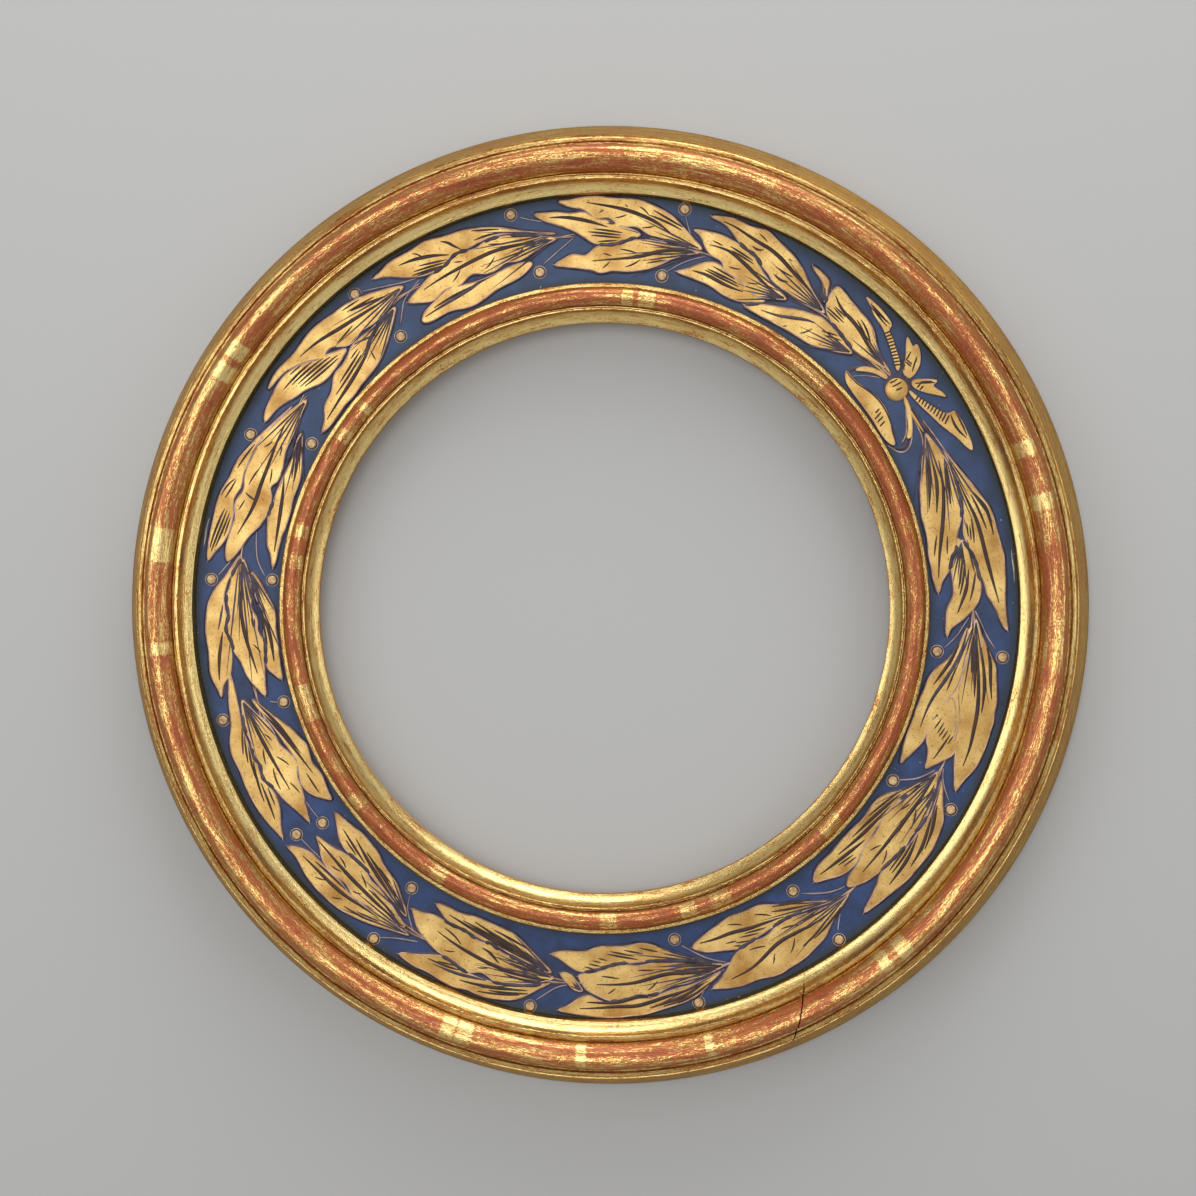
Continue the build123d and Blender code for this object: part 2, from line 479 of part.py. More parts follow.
right_branch_shares = [
    (
        [(240, .67), (238, .7), (236, .75), (234.5, .79), (232.5, .84), (230.5, .88), (228.5, .915),
         (226.5, .92), (224, .925), (222, .91), (220.5, .875), (219, .85), (217.8, .855),
         (216.7, .875)],
        [(238, .655), (234, .665), (231.5, .69), (229.5, .705), (227.5, .69), (226, .65),
         (224, .68), (221.5, .675), (220.2, .68), (219, .72), (218, .77)],
    ),
    (
        [(239, .62), (236, .655), (233.5, .675), (232, .655), (231, .68), (229.8, .7), (228.5, .69),
         (227.9, .65), (226.8, .635), (225.5, .645), (224.3, .67), (223, .66), (221.8, .64),
         (220.8, .595), (219.5, .54), (218, .515)],
        [(237, .57), (235, .5), (233, .45), (231.2, .415), (230, .42), (229.3, .41), (228.5, .38),
         (227.5, .36), (226, .36), (224.5, .375), (223, .41), (221.5, .45), (220, .485)],
    ),
    (
        [(238, .52), (236.5, .485), (234.5, .44), (232, .405), (229.5, .37), (227.5, .345),
         (225, .355), (223, .36), (221.5, .345), (220.5, .3), (219, .23), (216.8, .17)],
        [(236.7, .42), (235, .35), (234, .28), (232.5, .23), (231, .21), (229.5, .18), (228, .13),
         (226.8, .1), (225, .095), (223.5, .08), (222, .095), (220.5, .125), (218.5, .145)],
    ),
    (
        [(262.8, .61), (261, .7), (259.5, .79), (258.3, .87), (257, .92), (255, .95), (253, .97),
         (251.5, .96), (250.5, .945), (249.5, .97), (248, .98), (246.5, .97), (245, .945),
         (243.5, .94), (242.5, .96), (241.2, .945), (239, .925)],
        [(260.5, .69), (257, .745), (254, .775), (252, .78), (250, .77), (248.5, .755), (247, .71),
         (245.5, .7), (244.3, .72), (243, .775), (242, .82), (240.5, .86)],
    ),
    (
        [(263.3, .565), (261, .64), (258.5, .7), (256, .74), (254, .765), (253, .73), (252, .7),
         (251, .72), (250, .76), (248.8, .74), (247.5, .7), (246, .69), (244.5, .68), (243, .65),
         (241.5, .6), (240, .555), (239, .48), (238.1, .42), (237.3, .375)],
        [(261.5, .55), (259, .51), (257.5, .465), (256, .43), (254.5, .43), (253.3, .4),
         (252.3, .355), (251.3, .345), (250.3, .375), (249.3, .37), (248, .33), (246.5, .315),
         (245, .325), (243.5, .32), (242, .31), (240.5, .33), (239, .38)],
    ),
    (
        [(262.8, .54), (260, .495), (257.5, .44), (255, .4), (252.5, .34), (250, .345),
         (247.5, .31), (245, .31), (243, .29), (241.7, .23), (240.4, .19)],
        [(261.3, .45), (259.8, .38), (258, .29), (256.5, .22), (255, .165), (253, .14), (251, .135),
         (249, .12), (247.3, .125), (245.8, .155), (244.5, .165), (243, .155), (241.5, .165)],
    ),
    (
        [(263.3, .505), (264.2, .57), (265.2, .64), (266, .69), (267.5, .7)],
        [(264.4, .485), (265.4, .51), (266, .56), (266.7, .63)],
    ),
    (
        [(289, .64), (287, .71), (285.3, .8), (283.5, .87), (281.5, .9), (279, .925), (277, .96),
         (275.5, .975), (274, .97), (272.8, .985), (271, .985), (269, .98), (267.5, .965),
         (266, .955), (264.8, .95), (263.5, .935)],
        [(287, .67), (284.5, .71), (282, .72), (279.5, .745), (277.5, .785), (275.5, .775),
         (273.5, .815), (271, .825), (269.5, .79), (268.4, .725), (267.3, .745), (266, .82),
         (265, .89)],
    ),
    (
        [(289.7, .6), (287.5, .63), (285.5, .64), (284, .675), (282.7, .69), (281.3, .675),
         (280, .69), (278.8, .74), (277.5, .765), (276.3, .735), (275.2, .725), (274.2, .765),
         (273, .805), (271.2, .795), (269.8, .745), (268.6, .705), (267.8, .68), (267.2, .62),
         (266.7, .56), (266.2, .495)],
        [(288.5, .57), (286.5, .52), (284.5, .465), (282, .44), (280.2, .4), (278.7, .385),
         (277, .4), (275.5, .405), (274, .375), (272.3, .375), (271, .42), (269.7, .455),
         (268, .48)],
    ),
    (
        [(287.5, .53), (284, .44), (281.5, .4), (279, .37), (277, .36), (274.5, .365), (272.5, .36),
         (270.8, .4), (269, .445), (267, .475), (265.5, .44), (264.2, .38), (263, .325),
         (261.3, .3)],
        [(284.5, .42), (282.7, .355), (281.2, .3), (279.8, .22), (278.3, .17), (277, .145),
         (275.5, .15), (274, .17), (272, .165), (270, .16), (268.5, .195), (267.2, .235),
         (265.8, .24), (264.2, .235), (262.8, .265)],
    ),
    (
        [(312, .57), (309.5, .63), (307.5, .68), (306, .74), (304.7, .81), (303.5, .835),
         (302, .86), (301, .89), (299.5, .905), (298, .91), (296.5, .93), (295, .92), (293.8, .885),
         (292.5, .88), (291.3, .89), (290, .88), (288.5, .86), (287.3, .83), (286.2, .82)],
        [(309.5, .59), (306.5, .53), (304.5, .48), (302.5, .435), (301, .41), (299.7, .415),
         (298.5, .435), (297.2, .47), (296, .475), (294.5, .46), (293.3, .48), (291.5, .51),
         (290.5, .57), (289.8, .63), (288.7, .7), (287.5, .77)],
    ),
    (
        [(309, .545), (306.5, .48), (304, .43), (301.5, .395), (299.5, .4), (297.5, .42),
         (295.5, .435), (293.8, .46), (292.3, .48), (291, .455), (289.5, .425), (287.3, .4),
         (286, .35), (284.8, .3)],
        [(307.2, .46), (305.3, .37), (303.5, .29), (301.5, .24), (300, .18), (298.5, .12),
         (297, .11), (295, .115), (293.3, .095), (291.7, .11), (290, .145), (288, .19),
         (286.3, .24)],
    ),
    (
        [(334, .6), (332, .68), (330.3, .75), (329, .83), (327.8, .87), (326.3, .89), (325, .92),
         (323.5, .935), (322, .925), (320.5, .93), (319, .93), (317.5, .92), (315.5, .895),
         (313.5, .885), (312, .87), (310.7, .86)],
        [(332.5, .62), (330, .67), (327.5, .7), (325, .68), (323.3, .7), (321, .675), (319.3, .655),
         (317.8, .65), (316.5, .665), (315.3, .72), (313.8, .77), (312.3, .81)],
    ),
    (
        [(335, .53), (332.5, .58), (330, .63), (328, .67), (326, .675), (324.5, .65), (323.7, .645),
         (322.5, .675), (321, .66), (319.5, .655), (317.5, .64), (315.5, .63), (314, .595),
         (312.8, .56), (311.5, .51)],
        [(333.5, .49), (331.5, .42), (330, .36), (328.5, .335), (327, .32), (325.5, .29),
         (324, .27), (322.8, .28), (321.8, .31), (320.3, .31), (318.8, .305), (317.5, .33),
         (316.3, .38), (315, .41), (313.5, .42), (312.5, .455)],
    ),
    (
        [(333, .49), (331, .42), (329.5, .345), (327.5, .31), (325, .275), (322.5, .275), (320, .3),
         (318, .305), (317, .335), (316, .375), (314.7, .39), (313.3, .38), (312, .36),
         (310.7, .31), (309.3, .27), (307.9, .235)],
        [(331.5, .4), (329.8, .31), (328.5, .23), (327.3, .14), (326, .1), (324.3, .085),
         (322.8, .1), (321.3, .105), (319.5, .085), (317.5, .075), (315.5, .085), (313.5, .105),
         (311.5, .105), (310, .12), (308.8, .17)],
    ),
    (
        [(359.5, .525), (357, .575), (355.3, .64), (353.5, .72), (352.3, .79), (351, .81),
         (349.5, .83), (348, .87), (346.5, .885), (345, .885), (344.3, .91), (343, .9), (341, .91),
         (339, .905), (337, .89), (335.5, .84), (334, .81), (332.8, .81)],
        [(357, .51), (354, .5), (351, .46), (349, .44), (347, .44), (345.5, .48), (344, .52),
         (342.5, .55), (341, .555), (339.5, .57), (338.3, .62), (336.5, .66), (335, .72),
         (333.8, .76)],
    ),
    (
        [(346.5, .4), (344.5, .46), (342.5, .51), (341, .53), (339.7, .565), (338.3, .615),
         (337.2, .58), (336, .5), (335, .44), (333.8, .38)],
        [(345.5, .34), (344.3, .3), (343, .29), (341.8, .25), (340.8, .23), (339.5, .25),
         (338.3, .26), (337.5, .31), (336.3, .35), (335, .37)],
    ),
    (
        [(358, .45), (354, .46), (351, .44), (348, .42), (346.5, .37), (345, .32), (343.3, .295),
         (342, .255), (340.5, .235), (338.7, .245), (337, .21), (335.5, .17), (334, .13),
         (332.8, .11)],
        [(356.5, .41), (354.5, .365), (352.5, .29), (351.2, .2), (350, .13), (348.5, .08),
         (346.5, .065), (344.5, .045), (342.5, .035), (340.5, .04), (338.5, .035), (336.5, .045),
         (335, .07), (333.8, .095)],
    ),
    (
        [(386, .54), (383, .6), (380.5, .66), (378, .735), (376.5, .77), (375, .83), (373, .84),
         (371, .845), (369.5, .86), (368, .88), (366.5, .87), (365, .865), (363.5, .86), (362, .85),
         (360, .855), (358.5, .87), (357, .9)],
        [(383, .57), (380, .575), (377, .56), (375, .53), (373.5, .5), (372, .47), (370.5, .49),
         (369, .54), (368, .57), (366.5, .575), (365.5, .58), (364.8, .62), (363.5, .64),
         (362.5, .65), (361.5, .7), (360.3, .755), (358.8, .8), (357.8, .84)],
    ),
    (
        [(371.5, .45), (369.5, .5), (368, .55), (366.5, .57), (365.2, .575), (363.8, .6),
         (362, .57), (360.8, .53), (359.8, .47), (358.6, .38), (357.8, .3), (357, .24),
         (355.4, .22)],
        [(370.5, .41), (369.3, .36), (368.5, .29), (367.3, .275), (366, .28), (364, .285),
         (362.8, .285), (361.8, .26), (360.8, .215), (359.7, .2), (358, .2), (356.6, .2)],
    ),
    (
        [(389, .47), (387, .49), (385, .525), (382.5, .55), (380, .56), (378, .55), (376, .53),
         (374.3, .49), (373, .43), (371.8, .39), (370, .37), (369.2, .34), (368.6, .29),
         (367.3, .275), (366.3, .24), (365.3, .17), (364.2, .14), (362.6, .11)],
        [(388, .435), (386.5, .38), (385.2, .29), (383.8, .25), (382.5, .21), (381, .15),
         (379.5, .12), (378, .095), (376.3, .065), (374.5, .07), (372.5, .075), (371, .06),
         (369.5, .045), (368, .06), (366, .06), (364.3, .08)],
    ),
]


def leaf_outline(first_edge, second_edge):
    return [frieze_point(*point) for point in first_edge + second_edge[::-1]]


for name, branch_shares in (
    ("laurel_branch_left", left_branch_shares),
    ("laurel_branch_right", right_branch_shares),
):
    with BuildPart() as branch:
        with BuildSketch(front_plane(frieze_height)):
            for first_edge, second_edge in branch_shares:
                with BuildLine():
                    Polyline(*leaf_outline(first_edge, second_edge), close=True)
                make_face()
        extrude(amount=leaf_relief)
    keep(branch, name)

# Berries beside the sprigs
berry_shares = [
    (78.2, .93), (79.7, .145), (102.9, .905), (100.3, .2), (128, .88), (126.3, .175), (153.5, .815),
    (150.2, .135), (175.6, .825), (174.9, .115), (196.3, .875), (196.2, .125), (216.4, .695),
    (217.4, .365), (235.3, .935), (235.7, .19), (259.8, .94), (284, .935), (282.6, .165),
    (305.9, .93), (304.4, .175), (330.4, .86), (329.8, .13), (353.4, .86), (353.1, .125),
]
with BuildPart() as laurel_berries:
    with BuildSketch(front_plane(frieze_height)):
        with Locations(*[frieze_point(*point) for point in berry_shares]):
            Circle(berry_radius)
    extrude(amount=berry_relief)
    fillet(laurel_berries.edges().group_by(Axis.Y)[0], berry_rounding)
keep(laurel_berries, "laurel_berries")

# Ribbon bow: two long tails, two short ones, the two loop strands and the band
bow_shares = [
    [(35.6, .57), (34.6, .585), (33.3, .62), (32, .665), (30.8, .71), (30, .745), (29.4, .81),
     (29.7, .865), (29, .88), (27, .887), (25, .878), (23.8, .87), (23.2, .845), (24.5, .79),
     (26, .755), (27.5, .695), (29, .648), (30.8, .612), (32.5, .575), (34.3, .55), (35.4, .545)],
    [(38.8, .59), (39.3, .66), (40.5, .7), (42, .745), (43, .79), (44.4, .815), (44.3, .87),
     (44.7, .9), (46, .918), (47.5, .932), (49, .932), (50.1, .92), (49, .895), (48, .86),
     (47.3, .825), (46.3, .81), (45, .79), (43.5, .74), (42, .69), (40.5, .635), (39.3, .59)],
    [(36.2, .62), (36.6, .67), (35.6, .77), (34.6, .885), (34.2, .875), (34.3, .8), (33.5, .82),
     (32.6, .862), (31.5, .875), (32.5, .81), (33.3, .74), (34.4, .67), (35.4, .62)],
    [(37, .62), (36.9, .69), (37.3, .79), (38, .86), (39, .92), (40.1, .955), (40.3, .93),
     (40.1, .885), (41, .91), (42, .93), (41.2, .86), (40, .78), (39.2, .71), (38.3, .62)],
    [(35.3, .49), (33.5, .475), (31.5, .41), (30, .35), (29, .3), (29.4, .24), (30.2, .3),
     (31.5, .355), (33.4, .42), (35.2, .455)],
    [(39.1, .475), (40.5, .445), (42, .4), (43.3, .31), (43.5, .22), (42.6, .29), (41.4, .36),
     (40.2, .405), (39, .43)],
    [(28.9, .11), (31, .13), (32.5, .165), (34, .215), (35.5, .235), (37, .235), (38.5, .22),
     (40, .19), (41.5, .165), (43, .155), (44.7, .18), (43.7, .1), (42.5, .06), (40, .05),
     (37, .045), (34, .035), (31.5, .03), (30.2, .05)],
]
knot_share = (37.2, .49)
with BuildPart() as ribbon_bow:
    with BuildSketch(front_plane(frieze_height)):
        with Locations(frieze_point(*knot_share)):
            Circle(knot_radius)
    extrude(amount=knot_relief)
    fillet(ribbon_bow.edges().group_by(Axis.Y)[0], knot_rounding)
    with BuildSketch(front_plane(frieze_height)):
        for outline in bow_shares:
            with BuildLine():
                Polyline(*[frieze_point(*point) for point in outline], close=True)
            make_face()
    extrude(amount=bow_relief)
keep(ribbon_bow, "ribbon_bow")

# Strap hanger: a folded brass strap whose rolled end holds the ring
knuckle_bore = ring_wire_radius + ring_clearance
knuckle_radius = knuckle_bore + strap_thickness
with BuildPart() as hanger_strap:
    with BuildSketch(back_plane(0)):
        with Locations((0, -(knuckle_height - strap_length / 2))):
            Rectangle(strap_width, strap_length)
    extrude(amount=strap_thickness)
    fillet(hanger_strap.edges().filter_by(Axis.Y).group_by(Axis.Z)[0], strap_corner)
    with BuildSketch(Plane.YZ):
        with Locations((knuckle_radius, knuckle_height)):
            Circle(knuckle_radius)
    extrude(amount=strap_width / 2, both=True)
    with BuildSketch(Plane.YZ):
        with Locations((knuckle_radius, knuckle_height)):
            Circle(knuckle_bore)
    extrude(amount=strap_width / 2, both=True, mode=Mode.SUBTRACT)
    with Locations(*[Plane((x, strap_thickness, z), z_dir=(0, 1, 0)) for x, z in hanger_points]):
        CounterSinkHole(
            screw_radius + screw_clearance,
            countersink_radius + screw_clearance,
            counter_sink_angle=countersink_angle,
        )
keep(hanger_strap, "hanger_strap")

with BuildPart() as d_ring:
    with BuildLine(back_plane(knuckle_radius)) as ring_path:
        FilletPolyline(
            (-ring_width / 2, -knuckle_height),
            (ring_width / 2, -knuckle_height),
            (ring_width / 2, ring_length - knuckle_height),
            (-ring_width / 2, ring_length - knuckle_height),
            radius=(ring_corner, ring_corner, ring_bend, ring_bend),
            close=True,
        )
    with BuildSketch(Plane(origin=ring_path.line @ 0, z_dir=ring_path.line % 0)):
        Circle(ring_wire_radius)
    sweep()
keep(d_ring, "d_ring")

# Turn buttons, each on its own screw and turned clear of the rebate
button_span = button_reach - button_width / 2
for number, (angle, (pivot_x, pivot_z)) in enumerate(zip(button_angles, button_points), start=1):
    turn = radians(angle)
    along_the_ring = (-sin(turn), 0, cos(turn))
    button_plane = Plane(origin=(pivot_x, button_play, pivot_z), x_dir=along_the_ring, z_dir=(0, 1, 0))
    with BuildPart() as turn_button:
        with BuildSketch(button_plane):
            with Locations((button_span / 2, 0)):
                SlotCenterToCenter(button_span, button_width)
            Circle(screw_radius + screw_clearance, mode=Mode.SUBTRACT)
        extrude(amount=button_thickness)
    keep(turn_button, f"turn_button_{number}")

# Screws: countersunk ones hold the strap, round-headed ones carry the buttons
countersink_depth = (countersink_radius - screw_radius) / tan(radians(countersink_angle / 2))
with BuildPart() as hanger_screws:
    with BuildSketch(back_plane(strap_thickness)):
        with Locations(*[(x, -z) for x, z in hanger_points]):
            Circle(screw_radius)
    extrude(amount=-screw_length)
    for x, z in hanger_points:
        with Locations(Plane((x, strap_thickness - countersink_depth / 2, z), z_dir=(0, 1, 0))):
            Cone(screw_radius, countersink_radius, countersink_depth)
    with BuildSketch(back_plane(strap_thickness)):
        with Locations(*[(x, -z) for x, z in hanger_points]):
            Rectangle(2 * countersink_radius, slot_width)
    extrude(amount=-slot_depth, mode=Mode.SUBTRACT)
keep(hanger_screws, "hanger_screws")

head_seat = button_thickness + 2 * button_play
with BuildPart() as button_screws:
    with BuildSketch(back_plane(head_seat)):
        with Locations(*[(x, -z) for x, z in button_points]):
            Circle(screw_head_radius)
    extrude(amount=screw_head_height)
    fillet(button_screws.edges().group_by(Axis.Y)[-1], screw_head_rounding)
    with BuildSketch(back_plane(head_seat)):
        with Locations(*[(x, -z) for x, z in button_points]):
            Circle(screw_radius)
    extrude(amount=-screw_length)
    with BuildSketch(back_plane(head_seat + screw_head_height)):
        with Locations(*[(x, -z) for x, z in button_points]):
            Rectangle(2 * screw_head_radius, slot_width)
    extrude(amount=-slot_depth, mode=Mode.SUBTRACT)
keep(button_screws, "button_screws")
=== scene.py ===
from math import atan2, cos, degrees, hypot, pi, radians, sin

import bmesh
import bpy
from mathutils import Matrix, Vector
from mathutils.kdtree import KDTree


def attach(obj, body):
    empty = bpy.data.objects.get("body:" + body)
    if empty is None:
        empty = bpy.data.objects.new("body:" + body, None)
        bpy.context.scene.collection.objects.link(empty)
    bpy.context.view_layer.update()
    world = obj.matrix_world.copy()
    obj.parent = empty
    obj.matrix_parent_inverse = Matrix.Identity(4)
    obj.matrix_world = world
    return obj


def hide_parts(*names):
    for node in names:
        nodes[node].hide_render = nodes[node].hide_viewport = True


# Everything is in metres in the frame's own axes: front towards -Y, +Z up, the
# ring's centre at the origin. Sizes in the dictionaries are in millimetres.
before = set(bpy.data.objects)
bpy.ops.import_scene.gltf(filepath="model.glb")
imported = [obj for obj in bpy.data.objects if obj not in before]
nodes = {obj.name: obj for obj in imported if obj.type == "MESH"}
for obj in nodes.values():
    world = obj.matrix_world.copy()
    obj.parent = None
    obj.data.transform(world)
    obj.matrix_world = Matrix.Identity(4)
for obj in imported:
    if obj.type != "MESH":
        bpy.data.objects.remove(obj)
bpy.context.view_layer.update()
mm = 0.001
print("frame loaded:", len(nodes), "nodes")


def linearColor(hexColor, alpha=1.0):
    channels = [int(hexColor[i:i + 2], 16) / 255 for i in (0, 2, 4)]
    return [c / 12.92 if c <= 0.04045 else ((c + 0.055) / 1.055) ** 2.4 for c in channels] + [alpha]


# Adds a shader node with its settings, fills or links its inputs, and gives an output
def addNode(tree, kind, inputs=None, output=0, **settings):
    node = tree.nodes.new("ShaderNode" + kind)
    for name, value in settings.items():
        setattr(node, name, value)
    for key, value in (inputs or {}).items():
        if isinstance(value, bpy.types.NodeSocket):
            tree.links.new(value, node.inputs[key])
        else:
            node.inputs[key].default_value = value
    return node.outputs[output] if node.outputs else None


def newMaterial(name):
    material = bpy.data.materials.new(name)
    material.use_nodes = True
    tree = material.node_tree
    tree.nodes.clear()
    return material, tree


def finishMaterial(tree, shader):
    addNode(tree, "OutputMaterial", {"Surface": shader})


# Where a point lies on the ring: distance from the axis, height over the back,
# angle from the right-hand side and the direction outwards
def ringPlace(tree):
    spot = addNode(tree, "VectorMath", {0: addNode(tree, "TexCoord", output="Object"), 1: (1000, 1000, 1000)},
                   operation="MULTIPLY")
    axes = addNode(tree, "SeparateXYZ", {0: spot}).node.outputs
    flat = addNode(tree, "VectorMath", {0: spot, 1: (1, 0, 1)}, operation="MULTIPLY")
    turn = addNode(tree, "Math", {0: axes[2], 1: axes[0]}, operation="ARCTAN2")
    turn = addNode(tree, "Math", {0: turn}, operation="DEGREES")
    return {
        "spot": spot,
        "axes": axes,
        "radius": addNode(tree, "VectorMath", {0: flat}, output="Value", operation="LENGTH"),
        "outwards": addNode(tree, "VectorMath", {0: flat}, operation="NORMALIZE"),
        "height": addNode(tree, "Math", {0: axes[1], 1: -1}, operation="MULTIPLY"),
        "angle": addNode(tree, "Math", {0: turn, 1: 360}, operation="FLOORED_MODULO"),
    }


# Noise drawn out along the turning, length and width of a streak in millimetres
def turnedNoise(tree, place, length, width, seed, detail=3.0, radius=220):
    around = addNode(tree, "VectorMath", {0: place["outwards"], "Scale": radius / length}, operation="SCALE")
    across = addNode(tree, "Math", {0: place["radius"], 1: 1 / width}, operation="MULTIPLY")
    lift = addNode(tree, "CombineXYZ", {1: across})
    vector = addNode(tree, "VectorMath", {0: around, 1: lift}, operation="ADD")
    depth = addNode(tree, "Math", {0: place["height"], 1: 1 / width, 2: seed}, operation="MULTIPLY_ADD")
    return addNode(tree, "TexNoise", {"Vector": vector, "W": depth, "Scale": 1.0, "Detail": detail},
                   noise_dimensions="4D")


def plainNoise(tree, spot, size, seed, detail=3.0, roughness=0.5):
    return addNode(tree, "TexNoise", {"Vector": spot, "W": seed, "Scale": 1 / size, "Detail": detail,
                                      "Roughness": roughness}, noise_dimensions="4D")


# A value read off a list of (radius, value) stops
def acrossProfile(tree, place, stops):
    low, high = stops[0][0], stops[-1][0]
    share = addNode(tree, "MapRange", {0: place["radius"], 1: low, 2: high})
    ramp = addNode(tree, "ValToRGB", {0: share}).node
    elements = ramp.color_ramp.elements
    for number, (radius, value) in enumerate(stops):
        if number == 0 or number == len(stops) - 1:
            element = elements[0 if number == 0 else -1]
        else:
            element = elements.new((radius - low) / (high - low))
        element.color = (value, value, value, 1)
    return ramp.outputs[0]


# Water gilding: gold leaf over red bole on gesso, burnished, then rubbed. Each
# laid leaf covers a stretch of the ring and wore in its own way, the high rounds
# show the warm bole through it in streaks along the turning, and the hollows
# keep a bright metal.
gilding = {
    "tones": [(0.0, "F2D68E"), (0.32, "DAB066"), (0.47, "B68444"), (0.56, "A66234"), (0.8, "B85834"),
              (1.0, "84442C")],
    "dirtAndShade": "6A4820",
    "leafSweep": 8.6,
    "streakLength": 9.0,
    "streakWidth": 0.35,
    "patchLength": 18.0,
    "patchWidth": 2.0,
    "fleckLength": 1.9,
    "fleckWidth": 0.4,
    "grain": 0.5,
    "pit": 1.5,
    "rubbing": {"patch": 1.5, "streak": 1.2, "fleck": 1.3, "grain": 1.3, "leafWear": 0.12},
    "lapSaving": 0.44,
    "boleShows": (0.42, 0.74),
    "burnished": 0.2,
    "matt": 0.32,
    "coat": 0.45,
    "coatRoughness": 0.12,
    "edgeTint": "E6C07A",
}


def mixedTones(tree, share, tones):
    ramp = addNode(tree, "ValToRGB", {0: share}).node
    elements = ramp.color_ramp.elements
    for number, (position, hexColor) in enumerate(tones):
        if number == 0 or number == len(tones) - 1:
            element = elements[0 if number == 0 else -1]
        else:
            element = elements.new(position)
        element.color = linearColor(hexColor)
    return ramp.outputs[0]


def gildedMaterial(name, wear, dirtAndShade, laps, lapReach, seed):
    material, tree = newMaterial(name)
    place = ringPlace(tree)
    streak = turnedNoise(tree, place, gilding["streakLength"], gilding["streakWidth"], seed)
    patch = turnedNoise(tree, place, gilding["patchLength"], gilding["patchWidth"], seed + 7)
    fleck = turnedNoise(tree, place, gilding["fleckLength"], gilding["fleckWidth"], seed + 13, 1.0)
    grain = plainNoise(tree, place["spot"], gilding["grain"], seed + 2, 2.0)
    worn = acrossProfile(tree, place, wear)
    # how far the leaf laid here has worn
    ragged = addNode(tree, "Math", {0: fleck, 1: 1.2, 2: -0.6}, operation="MULTIPLY_ADD")
    ragged = addNode(tree, "Math", {0: place["angle"], 1: ragged})
    leaf = addNode(tree, "Math", {0: ragged, 1: 1 / gilding["leafSweep"], 2: seed}, operation="MULTIPLY_ADD")
    leaf = addNode(tree, "Math", {0: leaf}, operation="FLOOR")
    leafWear = addNode(tree, "TexWhiteNoise", {"W": leaf}, noise_dimensions="1D")
    rub = worn
    noises = {"patch": patch, "streak": streak, "fleck": fleck, "grain": grain, "leafWear": leafWear}
    for kind, weight in gilding["rubbing"].items():
        rub = addNode(tree, "Math", {0: noises[kind], 1: weight, 2: rub}, operation="MULTIPLY_ADD")
        rub = addNode(tree, "Math", {0: rub, 1: -weight / 2})
    # where two leaves overlap, the double gold wears less
    lapped = None
    for angle, width in laps:
        strip = addNode(tree, "Math", {0: ragged, 1: angle, 2: width / 2}, operation="COMPARE")
        lapped = strip if lapped is None else addNode(tree, "Math", {0: lapped, 1: strip},
                                                      operation="MAXIMUM")
    lapped = addNode(tree, "Math", {0: lapped, 1: acrossProfile(tree, place, lapReach)}, operation="MULTIPLY")
    rub = addNode(tree, "Math", {0: lapped, 1: -gilding["lapSaving"], 2: rub}, operation="MULTIPLY_ADD",
                  use_clamp=True)
    color = mixedTones(tree, rub, gilding["tones"])
    # dirt and painted shade: a dark brown by radius in the grooves, at the edges and at the cove's foot
    grimeAndShade = acrossProfile(tree, place, dirtAndShade)
    uneven = addNode(tree, "Math", {0: streak, 1: 1.2, 2: 0.3}, operation="MULTIPLY_ADD")
    grimeAndShade = addNode(tree, "Math", {0: grimeAndShade, 1: uneven}, operation="MULTIPLY", use_clamp=True)
    color = addNode(tree, "Mix", {0: grimeAndShade, 6: color, 7: linearColor(gilding["dirtAndShade"])}, output=2,
                    data_type="RGBA")
    leafEnds, boleBare = gilding["boleShows"]
    bare = addNode(tree, "MapRange", {0: rub, 1: leafEnds, 2: boleBare})
    metallic = addNode(tree, "MapRange", {0: bare, 3: 1.0, 4: 0.4})
    hidden = addNode(tree, "Math", {0: bare, 1: grimeAndShade}, operation="MAXIMUM")
    roughness = addNode(tree, "MapRange", {0: hidden, 3: gilding["burnished"], 4: gilding["matt"]})
    roughness = addNode(tree, "Math", {0: grain, 1: 0.2, 2: roughness}, operation="MULTIPLY_ADD")
    roughness = addNode(tree, "Math", {0: roughness, 1: -0.06})
    # pits and specks of dirt
    pit = plainNoise(tree, place["spot"], gilding["pit"], seed + 21, 1.0)
    pit = addNode(tree, "MapRange", {0: pit, 1: 0.72, 2: 0.76, 4: 0.75})
    color = addNode(tree, "Mix", {0: pit, 6: color, 7: linearColor(gilding["dirtAndShade"])}, output=2,
                    data_type="RGBA")
    relief = addNode(tree, "Math", {0: streak, 1: 0.3, 2: fleck}, operation="MULTIPLY_ADD")
    relief = addNode(tree, "Math", {0: grain, 1: 1.6, 2: relief}, operation="MULTIPLY_ADD")
    bump = addNode(tree, "Bump", {"Height": relief, "Strength": 0.8, "Distance": 0.0001})
    # a thin old size coat over all of it takes the white of the highlights
    coat = addNode(tree, "MapRange", {0: grimeAndShade, 3: gilding["coat"], 4: 0.0})
    shader = addNode(tree, "BsdfPrincipled", {"Base Color": color, "Metallic": metallic,
                                              "Roughness": roughness, "Normal": bump, "Coat Weight": coat,
                                              "Coat Normal": bump,
                                              "Coat Roughness": gilding["coatRoughness"],
                                              "Specular Tint": linearColor(gilding["edgeTint"])})
    finishMaterial(tree, shader)
    return material
